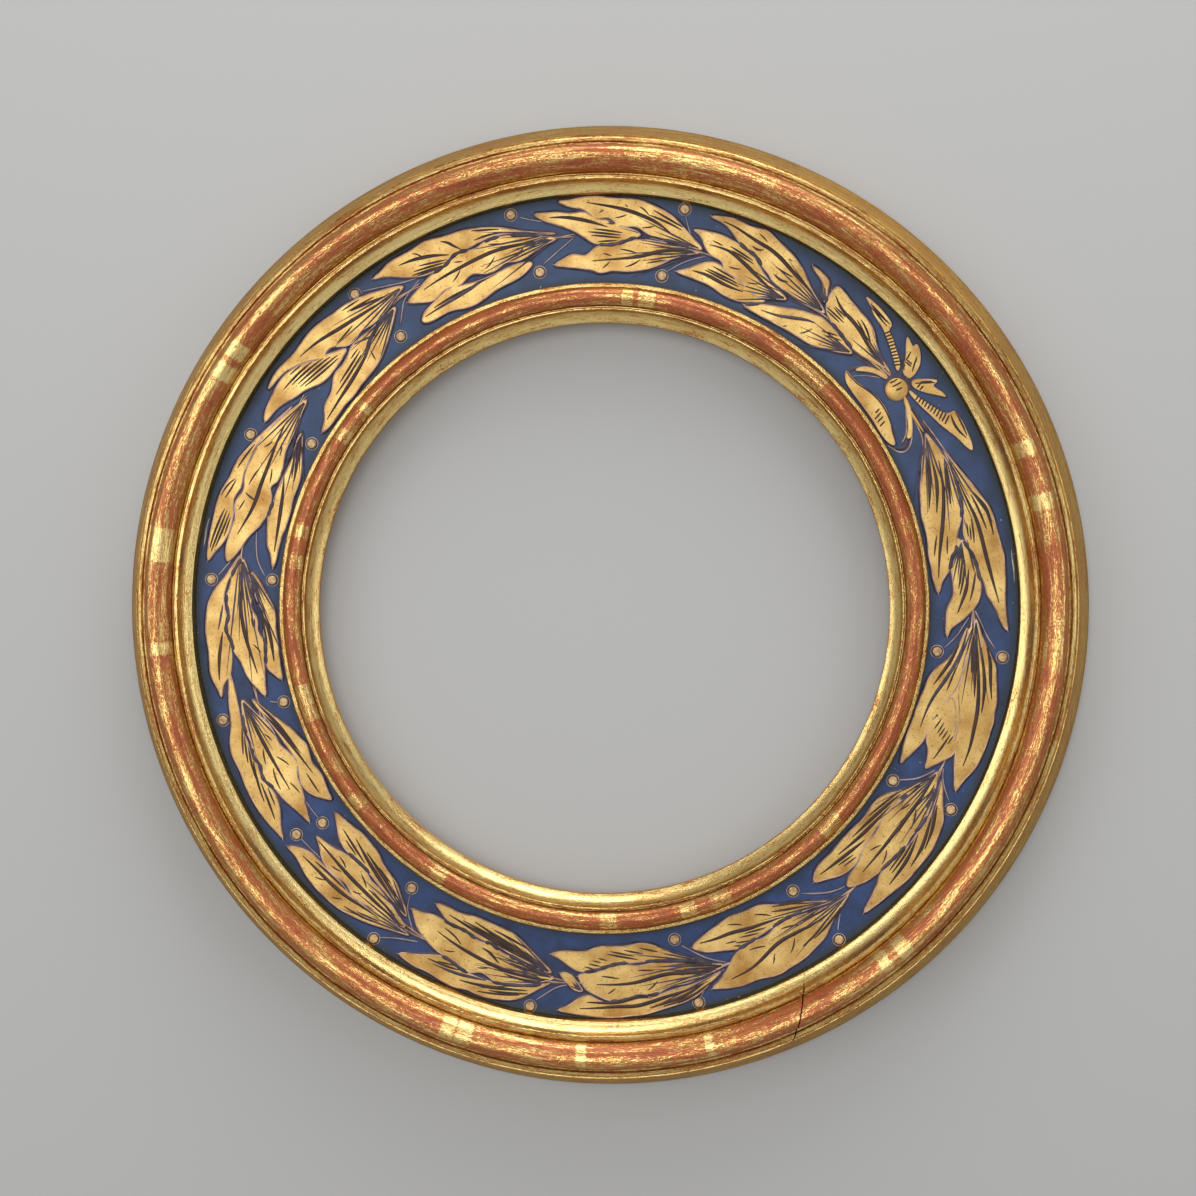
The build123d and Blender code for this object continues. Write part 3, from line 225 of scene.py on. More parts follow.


# Wear, and dirt with painted groove shade, go by radius, and laps by (angle, width) in degrees
outerGilding = gildedMaterial(
    "waterGildingOuter",
    wear=[(211, 0.2), (212.6, 0.0), (213.5, 0.0), (216, 0.1), (217.7, 0.25), (218.1, 0.3), (219.4, 0.15),
          (220.6, 0.35), (221.6, 0.5), (224, 0.64), (227, 0.6), (229.2, 0.5), (231.6, 0.52), (233, 0.6),
          (233.8, 0.6), (234.6, 0.4),
          (236.2, 0.45), (237.6, 0.25), (239, 0.1), (240.6, 0.22), (250, 0.24)],
    dirtAndShade=[(211, 0.5), (212.1, 0.12), (212.7, 0.0), (220, 0.05), (220.6, 0.5), (221.4, 0.35), (222.4, 0.05),
          (234, 0.05), (234.6, 0.5), (236, 0.4), (237.4, 0.3), (239.2, 0.4), (239.8, 0.45), (241, 0.35),
          (245, 0.2), (250, 0.3)],
    laps=[(14, 2), (21, 2), (144.4, 2.2), (147.6, 2.2), (171.5, 4.4), (185, 1.6), (250, 1.8), (252.2, 2),
          (267.6, 1.3), (284.3, 1), (309.2, 1.5), (312.2, 1.9)],
    lapReach=[(211, 0), (221, 0.2), (222, 1), (228, 1), (231, 0.6), (234, 0.2), (250, 0)],
    seed=3)
sightGilding = gildedMaterial(
    "waterGildingSight",
    wear=[(147.9, 0.3), (149, 0.1), (152.4, 0.12), (153.1, 0.25), (154.4, 0.25), (155.4, 0.55), (157.5, 0.68),
          (161.5, 0.72), (163.6, 0.6), (164.5, 0.35), (166, 0.2), (167, 0.4)],
    dirtAndShade=[(147.9, 0.3), (148.6, 0.05), (152.8, 0.05), (153.4, 0.25), (154.3, 0.3), (154.9, 0.6), (155.5, 0.1),
          (163.8, 0.1), (164.4, 0.6), (165, 0.3), (166.3, 0.4), (167, 0.9)],
    laps=[(81.5, 3), (85, 2), (49.5, 9), (139.3, 1.5), (145.7, 2.5), (165.2, 2.5), (171, 2.6), (197.5, 7),
          (218, 3), (238.5, 3), (271.5, 3), (286.5, 3), (292.8, 3.7), (317.2, 4.5)],
    lapReach=[(147.9, 0), (154.9, 0.1), (156, 0.7), (163, 0.7), (164.4, 0.2), (167, 0)],
    seed=11)
print("gilding mixed")


# Matt tempera on gesso: blue, mottled, gone grey-green with dirt and painted shade along both mouldings
frieze = {
    "inner": 167.0,
    "outer": 212.0,
    "surface": 14.0,
    "blue": "2F497E",
    "deepBlue": "1F2C47",
    "greyBlue": "45556A",
    "dirtAndShade": "2B3638",
    "speck": "C9CFD2",
    "dirtAndShadeWidth": 5.0,
    "dirtAndShadeSway": 5.0,
    "dirtAndShadeEnd": 3.2,
    "cloud": 16.0,
    "grain": 1.2,
    "speckSize": 1.5,
}


def friezeMaterial():
    material, tree = newMaterial("blueTempera")
    place = ringPlace(tree)
    cloud = plainNoise(tree, place["spot"], frieze["cloud"], 2.0, 6.0, 0.65)
    grain = plainNoise(tree, place["spot"], frieze["grain"], 5.0, 3.0)
    mottle = addNode(tree, "MapRange", {0: cloud, 1: 0.34, 2: 0.66})
    color = addNode(tree, "Mix", {0: mottle, 6: linearColor(frieze["deepBlue"]),
                                  7: linearColor(frieze["blue"])}, output=2, data_type="RGBA")
    # the blue turns lighter and greyer towards the top of the ring
    high = addNode(tree, "MapRange", {0: place["axes"][2], 1: -170, 2: 190, 3: 0.0, 4: 0.75},
                   interpolation_type="SMOOTHSTEP")
    greyerTowardsTop = addNode(tree, "Math", {0: high, 1: cloud}, operation="MULTIPLY")
    color = addNode(tree, "Mix", {0: greyerTowardsTop, 6: color, 7: linearColor(frieze["greyBlue"])}, output=2,
                    data_type="RGBA")
    # dirt and painted shade: a dark grey-green band beside both mouldings
    middle = (frieze["inner"] + frieze["outer"]) / 2
    edge = addNode(tree, "Math", {0: place["radius"], 1: middle}, operation="SUBTRACT")
    edge = addNode(tree, "Math", {0: edge}, operation="ABSOLUTE")
    edge = addNode(tree, "Math", {0: cloud, 1: frieze["dirtAndShadeSway"], 2: edge}, operation="MULTIPLY_ADD")
    half = (frieze["outer"] - frieze["inner"]) / 2
    starts = half + frieze["dirtAndShadeSway"] / 2 - frieze["dirtAndShadeWidth"]
    grimeAndShade = addNode(tree, "MapRange", {0: edge, 1: starts, 2: half + frieze["dirtAndShadeEnd"], 4: 0.85},
                    interpolation_type="SMOOTHSTEP")
    color = addNode(tree, "Mix", {0: grimeAndShade, 6: color, 7: linearColor(frieze["dirtAndShade"])}, output=2,
                    data_type="RGBA")
    speck = plainNoise(tree, place["spot"], frieze["speckSize"], 9.0, 1.0)
    speck = addNode(tree, "MapRange", {0: speck, 1: 0.775, 2: 0.8})
    color = addNode(tree, "Mix", {0: speck, 6: color, 7: linearColor(frieze["speck"])}, output=2,
                    data_type="RGBA")
    roughness = addNode(tree, "MapRange", {0: grain, 3: 0.5, 4: 0.68})
    relief = addNode(tree, "Math", {0: cloud, 1: 3.0, 2: grain}, operation="MULTIPLY_ADD")
    bump = addNode(tree, "Bump", {"Height": relief, "Strength": 0.35, "Distance": 0.0001})
    shader = addNode(tree, "BsdfPrincipled", {"Base Color": color, "Roughness": roughness, "Normal": bump})
    finishMaterial(tree, shader)
    return material


# Matt gold leaf on the relief: an even warm yellow with pin-holes and soft rubbing
leafGilding = {"bright": "FAD688", "rubbed": "B98843", "size": "7A5230", "cloud": 16.0, "pinhole": 0.9,
               "metallic": 0.65}


def leafMaterial():
    material, tree = newMaterial("mattGoldLeaf")
    place = ringPlace(tree)
    cloud = plainNoise(tree, place["spot"], leafGilding["cloud"], 1.0, 5.0)
    grain = plainNoise(tree, place["spot"], leafGilding["pinhole"], 4.0, 2.0)
    worn = addNode(tree, "MapRange", {0: cloud, 1: 0.32, 2: 0.68})
    color = addNode(tree, "Mix", {0: worn, 6: linearColor(leafGilding["bright"]),
                                  7: linearColor(leafGilding["rubbed"])}, output=2, data_type="RGBA")
    hole = addNode(tree, "MapRange", {0: grain, 1: 0.58, 2: 0.7, 4: 0.6})
    color = addNode(tree, "Mix", {0: hole, 6: color, 7: linearColor(leafGilding["size"])}, output=2,
                    data_type="RGBA")
    roughness = addNode(tree, "MapRange", {0: cloud, 3: 0.38, 4: 0.55})
    relief = addNode(tree, "Math", {0: cloud, 1: 3.0, 2: grain}, operation="MULTIPLY_ADD")
    bump = addNode(tree, "Bump", {"Height": relief, "Strength": 0.5, "Distance": 0.00012})
    shader = addNode(tree, "BsdfPrincipled", {"Base Color": color, "Metallic": leafGilding["metallic"],
                                              "Roughness": roughness, "Normal": bump})
    finishMaterial(tree, shader)
    return material


# Brush strokes: thin paint with an uneven load, so the colour shifts along them
def paintMaterial(name, light, dark, gloss=0.55, size=7.0):
    material, tree = newMaterial(name)
    place = ringPlace(tree)
    cloud = plainNoise(tree, place["spot"], size, 3.0, 3.0)
    load = addNode(tree, "MapRange", {0: cloud, 1: 0.35, 2: 0.65})
    color = addNode(tree, "Mix", {0: load, 6: linearColor(dark), 7: linearColor(light)}, output=2,
                    data_type="RGBA")
    shader = addNode(tree, "BsdfPrincipled", {"Base Color": color, "Roughness": gloss})
    finishMaterial(tree, shader)
    return material


# Old poplar: pale brown, long plain grain along each board, darkened by age
wood = {"early": "AE8A60", "late": "9A7850", "stain": "5A4230", "ringWidth": 2.2, "ringSway": 40.0,
        "grainStretch": 34.0, "sway": 14.0, "fibre": 0.5, "blot": 60.0, "roughness": 0.62}


def woodMaterial(name, boardAngle, seed):
    material, tree = newMaterial(name)
    place = ringPlace(tree)
    # the board's length runs across the middle of its segment
    turned = addNode(tree, "Mapping", {"Vector": place["spot"], "Rotation": (0, radians(boardAngle - 90), 0)})
    slim = addNode(tree, "VectorMath", {0: turned, 1: (1 / wood["grainStretch"], 1, 1)}, operation="MULTIPLY")
    sway = plainNoise(tree, slim, wood["sway"], seed, 2.0)
    lines = addNode(tree, "Math", {0: sway, 1: wood["ringSway"] / wood["ringWidth"]}, operation="MULTIPLY")
    lines = addNode(tree, "Math", {0: lines}, operation="FRACT")
    lines = addNode(tree, "MapRange", {0: lines, 1: 0.0, 2: 0.9}, interpolation_type="SMOOTHERSTEP")
    fibre = plainNoise(tree, slim, wood["fibre"], seed + 3, 3.0)
    color = addNode(tree, "Mix", {0: lines, 6: linearColor(wood["early"]), 7: linearColor(wood["late"])},
                    output=2, data_type="RGBA")
    streaky = addNode(tree, "MapRange", {0: fibre, 1: 0.3, 2: 0.75, 4: 0.55})
    color = addNode(tree, "Mix", {0: streaky, 6: color, 7: linearColor(wood["stain"])}, output=2,
                    data_type="RGBA")
    blot = plainNoise(tree, place["spot"], wood["blot"], seed + 5, 3.0)
    blot = addNode(tree, "MapRange", {0: blot, 1: 0.45, 2: 0.75, 4: 0.5}, interpolation_type="SMOOTHSTEP")
    color = addNode(tree, "Mix", {0: blot, 6: color, 7: linearColor(wood["stain"])}, output=2,
                    data_type="RGBA")
    relief = addNode(tree, "Math", {0: fibre, 1: lines})
    bump = addNode(tree, "Bump", {"Height": relief, "Strength": 0.5, "Distance": 0.0002})
    shader = addNode(tree, "BsdfPrincipled", {"Base Color": color, "Roughness": wood["roughness"],
                                              "Normal": bump})
    finishMaterial(tree, shader)
    return material


# Brass and steel fittings: satin metal, tarnished in soft clouds, with fine scratches
def fittingMaterial(name, bright, tarnish, roughness):
    material, tree = newMaterial(name)
    place = ringPlace(tree)
    cloud = plainNoise(tree, place["spot"], 3.0, 6.0, 4.0)
    scratch = addNode(tree, "VectorMath", {0: place["spot"], 1: (1, 1, 0.12)}, operation="MULTIPLY")
    scratch = plainNoise(tree, scratch, 0.3, 8.0, 2.0)
    tone = addNode(tree, "MapRange", {0: cloud, 1: 0.4, 2: 0.7})
    color = addNode(tree, "Mix", {0: tone, 6: linearColor(bright), 7: linearColor(tarnish)}, output=2,
                    data_type="RGBA")
    dull = addNode(tree, "MapRange", {0: tone, 3: roughness, 4: roughness + 0.22})
    bump = addNode(tree, "Bump", {"Height": scratch, "Strength": 0.25, "Distance": 0.00004})
    shader = addNode(tree, "BsdfPrincipled", {"Base Color": color, "Metallic": 1.0, "Roughness": dull,
                                              "Normal": bump})
    finishMaterial(tree, shader)
    return material


friezePaint = friezeMaterial()
leafGold = leafMaterial()
umberPaint = paintMaterial("umberStrokes", "4A2E24", "2A1A1A")
shadePaint = paintMaterial("purpleShading", "544854", "2E2630", size=6.0)
rimPaint = paintMaterial("pinkContour", "DDB8A4", "93705E", size=5.0)
stemPaint = paintMaterial("paleStems", "A9A0AC", "7C7284", size=6.0)
berryGold = paintMaterial("rubbedBerries", "E6C48E", "A07E5A", gloss=0.4, size=1.6)
berryPaint = paintMaterial("berryRings", "CDB29A", "8E786A", size=2.5)
brass = fittingMaterial("agedBrass", "C9A25A", "7D6238", 0.3)
steel = fittingMaterial("screwSteel", "B4B0A8", "6A625A", 0.34)
print("paints and metals mixed")


def newPiece(name, bm, materials, body):
    bmesh.ops.recalc_face_normals(bm, faces=bm.faces)
    mesh = bpy.data.meshes.new(name)
    bm.to_mesh(mesh)
    bm.free()
    piece = bpy.data.objects.new(name, mesh)
    bpy.context.scene.collection.objects.link(piece)
    for material in materials:
        mesh.materials.append(material)
    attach(piece, body)
    return piece


def ringPoint(radius, height, angle):
    turn = radians(angle)
    return Vector((radius * cos(turn), -height, radius * sin(turn))) * mm


# Points of an arc from one profile point through another to a third
def arcPoints(start, through, end, count):
    ax, ay, bx, by, cx, cy = *start, *through, *end
    d = 2 * (ax * (by - cy) + bx * (cy - ay) + cx * (ay - by))
    aa, bb, cc = ax * ax + ay * ay, bx * bx + by * by, cx * cx + cy * cy
    ux = (aa * (by - cy) + bb * (cy - ay) + cc * (ay - by)) / d
    uy = (aa * (cx - bx) + bb * (ax - cx) + cc * (bx - ax)) / d
    radius = hypot(ax - ux, ay - uy)
    a0, a1, a2 = (atan2(y - uy, x - ux) for x, y in (start, through, end))
    sweep = (a2 - a0) % (2 * pi)
    if (a1 - a0) % (2 * pi) > sweep:
        sweep -= 2 * pi
    return [(ux + radius * cos(a0 + sweep * i / count), uy + radius * sin(a0 + sweep * i / count))
            for i in range(1, count)]


# The outer moulding's section as it looks when finished: (radius, height) in mm
outerMoulding = {
    "joint": 295.0,
    "segments": 6,
    "steps": 60,
    "sharpAngle": 38.0,
    "crackWidth": 0.1,
    "crackDepth": 8.0,
    "crackSlope": 0.19,
    "crackShift": 0.8,
    "crackReach": 7.0,
}
outerProfile = [
    (212, 13), (228, 13), (228, 0), (250, 0), (250, 2.2),
    *arcPoints((250, 2.2), (244.2, 13), (240.3, 24.4), 10),
    (240.3, 24.4), (239.8, 24.2), (239.3, 25.0), (238.7, 27.0), (238, 27.5), (236.6, 27.5), (235.9, 26.5),
    (234.8, 26.5), (234.3, 27.4),
    *arcPoints((234.3, 27.4), (233.2, 31.6), (230.6, 33.4), 8), (230.6, 33.4),
    *arcPoints((230.6, 33.4), (225.4, 32.1), (221.2, 27.6), 12),
    (221.2, 27.6), (220.9, 25.2), (220.2, 25.2), (220.1, 26.4), (219.3, 26.9), (218, 26.9), (217.6, 26.4),
    *arcPoints((217.6, 26.4), (216, 23.4), (212.6, 21.3), 12),
    (212.6, 21.3), (212, 20.9),
]


def turnMatrix(angle):
    return Matrix.Rotation(radians(angle), 3, Vector((0, -1, 0)))


def spunSegment(bm, profile, start, sweep, steps):
    corners = [bm.verts.new((radius * mm, -height * mm, 0)) for radius, height in profile]
    face = bm.faces.new(corners)
    bmesh.ops.rotate(bm, verts=corners, cent=(0, 0, 0), matrix=turnMatrix(start))
    spun = bmesh.ops.spin(bm, geom=[face, *face.edges, *corners], cent=(0, 0, 0), axis=(0, -1, 0),
                          angle=radians(sweep), steps=steps, use_duplicate=False)
    bmesh.ops.holes_fill(bm, edges=[e for e in bm.edges if e.is_boundary], sides=0)
    return spun


# The open joint runs askew, as the crack in the gesso does
def skewToCrack(bm, side):
    for vert in bm.verts:
        radius = hypot(vert.co.x, vert.co.z) / mm
        away = (degrees(atan2(vert.co.z, vert.co.x)) - outerMoulding["joint"] + 180) % 360 - 180
        near = max(0, 1 - abs(away) / outerMoulding["crackReach"]) ** 2
        lean = (232 - radius) * outerMoulding["crackSlope"] + outerMoulding["crackShift"]
        front = max(0, (-vert.co.y / mm - outerMoulding["crackDepth"]) / 20)
        gap = side * outerMoulding["crackWidth"] * min(1, front) if abs(away) < 0.01 else 0
        vert.co = turnMatrix(lean * near + gap) @ vert.co


sector = 360 / outerMoulding["segments"]
mouldingWood = [woodMaterial(f"poplarMoulding{number + 1}", outerMoulding["joint"] + sector * (number + 0.5),
                             31 + number) for number in range(outerMoulding["segments"])]


# One curved length of moulding, gilded but for its bare wooden back
def mouldingPiece(name, bm, gilt, board):
    piece = newPiece(name, bm, [gilt, board], "frame")
    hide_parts(name.replace("moulding", "moulding_segment"))
    for polygon in piece.data.polygons:
        polygon.use_smooth = True
        if polygon.normal.y > 0.9:
            polygon.material_index = 1
    piece.data.set_sharp_from_angle(angle=radians(outerMoulding["sharpAngle"]))


for number in range(outerMoulding["segments"]):
    bm = bmesh.new()
    spunSegment(bm, outerProfile, outerMoulding["joint"] + number * sector, sector, outerMoulding["steps"])
    if number in (0, outerMoulding["segments"] - 1):
        skewToCrack(bm, 1 if number == 0 else -1)
    mouldingPiece(f"outer_moulding_{number + 1}", bm, outerGilding, mouldingWood[number])
print("outer moulding turned")

sightMoulding = {"joint": 50.0, "segments": 6, "steps": 60, "boardShift": 2}
sightProfile = [
    (148, 9.4), (148, 6.5), (157.9, 6.5), (157.9, 13), (167, 13), (167, 18.2), (166.6, 18.6), (165, 18.6),
    (164.6, 18.1), (164.4, 18.6), (164.4, 20.0),
    *arcPoints((164.4, 20.0), (159.65, 24.5), (154.9, 20.0), 16),
    (154.9, 20.0), (154.8, 19.3), (154.4, 19.3), (154.2, 20.1), (153.8, 20.5), (153.3, 20.5), (153.0, 20.1),
    *arcPoints((153.0, 20.1), (152.3, 13.1), (148, 9.4), 12),
]
for number in range(sightMoulding["segments"]):
    bm = bmesh.new()
    spunSegment(bm, sightProfile, sightMoulding["joint"] + number * sector, sector, sightMoulding["steps"])
    board = mouldingWood[(number + sightMoulding["boardShift"]) % len(mouldingWood)]
    mouldingPiece(f"sight_moulding_{number + 1}", bm, sightGilding, board)
print("sight moulding turned")


# The relief: each CAD outline is rounded off but for its tips, filled and thickened
relief = {"leaf": 0.6, "bow": 0.7, "tipAngle": 40.0, "knot": 2.0, "weld": 0.02, "flush": 0.05,
          "longEdge": 1.2, "roundings": 3}


def reliefOutline(nodeName, thickness):
    bm = bmesh.new()
    bm.from_mesh(nodes[nodeName].data)
    bmesh.ops.remove_doubles(bm, verts=bm.verts, dist=relief["weld"] * mm)
    bm.normal_update()
    top = -(frieze["surface"] + thickness) * mm
    bmesh.ops.delete(bm, geom=[f for f in bm.faces if f.normal.y > -0.9 or
                               abs(f.calc_center_median().y - top) > relief["flush"] * mm], context="FACES")
    inner = [edge for edge in bm.edges if not edge.is_boundary]
    bmesh.ops.delete(bm, geom=bm.faces[:], context="FACES_ONLY")
    bmesh.ops.delete(bm, geom=inner, context="EDGES")
    tips = set()
    for vert in bm.verts:
        away = [edge.other_vert(vert).co - vert.co for edge in vert.link_edges]
        if len(away) > 2 or away[0].angle(-away[1]) > radians(relief["tipAngle"]):
            tips.add(vert)
    longEdges = [edge for edge in bm.edges if edge.calc_length() > relief["longEdge"] * mm]
    bmesh.ops.subdivide_edges(bm, edges=longEdges, cuts=2)
    for times in range(relief["roundings"]):
        bmesh.ops.smooth_vert(bm, verts=[v for v in bm.verts if v not in tips], factor=0.5, use_axis_x=True,
                              use_axis_y=True, use_axis_z=True)
    return bm


def outlineLoops(bm):
    loops = []
    left = dict.fromkeys(bm.verts)
    while left:
        vert = next(iter(left))
        loop = []
        while vert:
            del left[vert]
            loop.append(vert.co.copy())
            nearby = [edge.other_vert(vert) for edge in vert.link_edges]
            vert = next((v for v in nearby if v in left), None)
        loops.append(loop)
    return loops


def reliefPiece(name, nodeName, thickness):
    bm = reliefOutline(nodeName, thickness)
    loops = outlineLoops(bm)
    bmesh.ops.triangle_fill(bm, use_beauty=True, edges=bm.edges, normal=(0, -1, 0))
    bmesh.ops.dissolve_limit(bm, angle_limit=radians(1), verts=bm.verts, edges=bm.edges)
    grown = bmesh.ops.extrude_face_region(bm, geom=bm.faces[:])
    for item in grown["geom"]:
        if isinstance(item, bmesh.types.BMVert):
            item.co.y += thickness * mm
    piece = newPiece(name, bm, [leafGold], "frame")
    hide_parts(nodeName)
    return loops


# Brush strokes as lines of paint with rounded backs, a width for each point
def paintedLines(name, lines, material, cyclic=False, flat=0.16):
    curve = bpy.data.curves.new(name, "CURVE")
    curve.dimensions = "3D"
    curve.bevel_depth = mm
    curve.bevel_resolution = 1
    curve.use_fill_caps = True
    curve.resolution_u = 4
    for points, widths in lines:
        spline = curve.splines.new("POLY" if cyclic else "NURBS")
        spline.points.add(len(points) - 1)
        for spot, point, width in zip(spline.points, points, widths):
            spot.co = (*point, 1)
            spot.radius = width / 2
        spline.order_u = 3
        spline.use_endpoint_u = True
        spline.use_cyclic_u = cyclic
    holder = bpy.data.objects.new(name + "_curve", curve)
    bm = bmesh.new()
    bm.from_mesh(bpy.data.meshes.new_from_object(holder))
    bpy.data.objects.remove(holder)
    level = lines[0][0][0].y
    for vert in bm.verts:
        vert.co.y = level + (vert.co.y - level) * flat
    bmesh.ops.remove_doubles(bm, verts=bm.verts, dist=0.003 * mm)
    return newPiece(name, bm, [material], "frame")


def friezePoint(angle, share, height):
    return ringPoint(frieze["inner"] + share * (frieze["outer"] - frieze["inner"]), height, angle)


# A stroke through (angle, share) points, thick in its middle and thin at its ends
def stroke(points, height, width, ends=0.2):
    if len(points) == 2:
        middle = ((points[0][0] + points[1][0]) / 2, (points[0][1] + points[1][1]) / 2)
        points = [points[0], middle, points[1]]
    count = len(points) - 1
    return ([friezePoint(angle, share, height) for angle, share in points],
            [width * (ends + (1 - ends) * sin(pi * i / count)) for i in range(count + 1)])


def strokeLength(points):
    path = [friezePoint(angle, share, 0) for angle, share in points]
    return sum((b - a).length for a, b in zip(path, path[1:])) / mm


# Where each sprig springs from the branch
branchRoots = [(39, .5), (54, .47), (75, .5), (97.5, .56), (122.5, .55), (147.5, .5), (172, .51),
               (195.5, .42), (241.5, .62), (265.5, .6), (289.5, .6), (311.5, .57), (335, .55), (359.5, .5)]
leftLoops = reliefPiece("laurel_left", "laurel_branch_left", relief["leaf"])
rightLoops = reliefPiece("laurel_right", "laurel_branch_right", relief["leaf"])
bowLoops = reliefPiece("bow_ribbon", "ribbon_bow", relief["bow"])


# A pale line round each outline, and a broad dark one beneath it on the ground
contour = {"leafRim": 0.7, "leafShade": 3.0, "bowRim": 0.4, "bowShade": 1.6, "ground": 14.03, "lift": 0.02}


def contourLines(name, loops, rimWidth, shadeWidth):
    lifted = Vector((0, -contour["lift"] * mm, 0))
    rims = [([point + lifted for point in loop], [rimWidth] * len(loop)) for loop in loops]
    paintedLines(f"{name}_contours", rims, rimPaint, cyclic=True)
    shades = [([Vector((point.x, -contour["ground"] * mm, point.z)) for point in loop],
               [shadeWidth] * len(loop)) for loop in loops]
    paintedLines(f"{name}_shades", shades, shadePaint, cyclic=True)


contourLines("leaf", leftLoops + rightLoops, contour["leafRim"], contour["leafShade"])
contourLines("bow", bowLoops, contour["bowRim"], contour["bowShade"])

# The knot: a low gold dome on a round of shade that shows beside it
knot = {"angle": 37.05, "share": 0.48, "radius": 6.0, "shadeRadius": 7.2, "shadeRise": 0.9,
        "offset": (-0.3, -1.2)}


def dome(name, middle, radius, rise, material, turned=(0, 0)):
    bm = bmesh.new()
    bmesh.ops.create_uvsphere(bm, u_segments=40, v_segments=20, radius=radius * mm)
    bmesh.ops.bisect_plane(bm, geom=bm.verts[:] + bm.edges[:] + bm.faces[:], plane_co=(0, 0, 0),
                           plane_no=(0, 1, 0), clear_outer=True)
    bmesh.ops.holes_fill(bm, edges=[e for e in bm.edges if e.is_boundary], sides=0)
    for vert in bm.verts:
        vert.co.y *= rise / radius
        vert.co += middle + Vector((turned[0], 0, turned[1])) * mm
    piece = newPiece(name, bm, [material], "frame")
    for polygon in piece.data.polygons:
        polygon.use_smooth = True
    return piece


knotMiddle = friezePoint(knot["angle"], knot["share"], frieze["surface"])
dome("knot_round", knotMiddle, knot["shadeRadius"], knot["shadeRise"], shadePaint)
bowKnot = dome("bow_knot", knotMiddle, knot["radius"], relief["knot"], leafGold, knot["offset"])
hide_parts("ribbon_bow")
knotTop = knotMiddle + Vector((knot["offset"][0], 0, knot["offset"][1])) * mm
print("garland laid in relief")

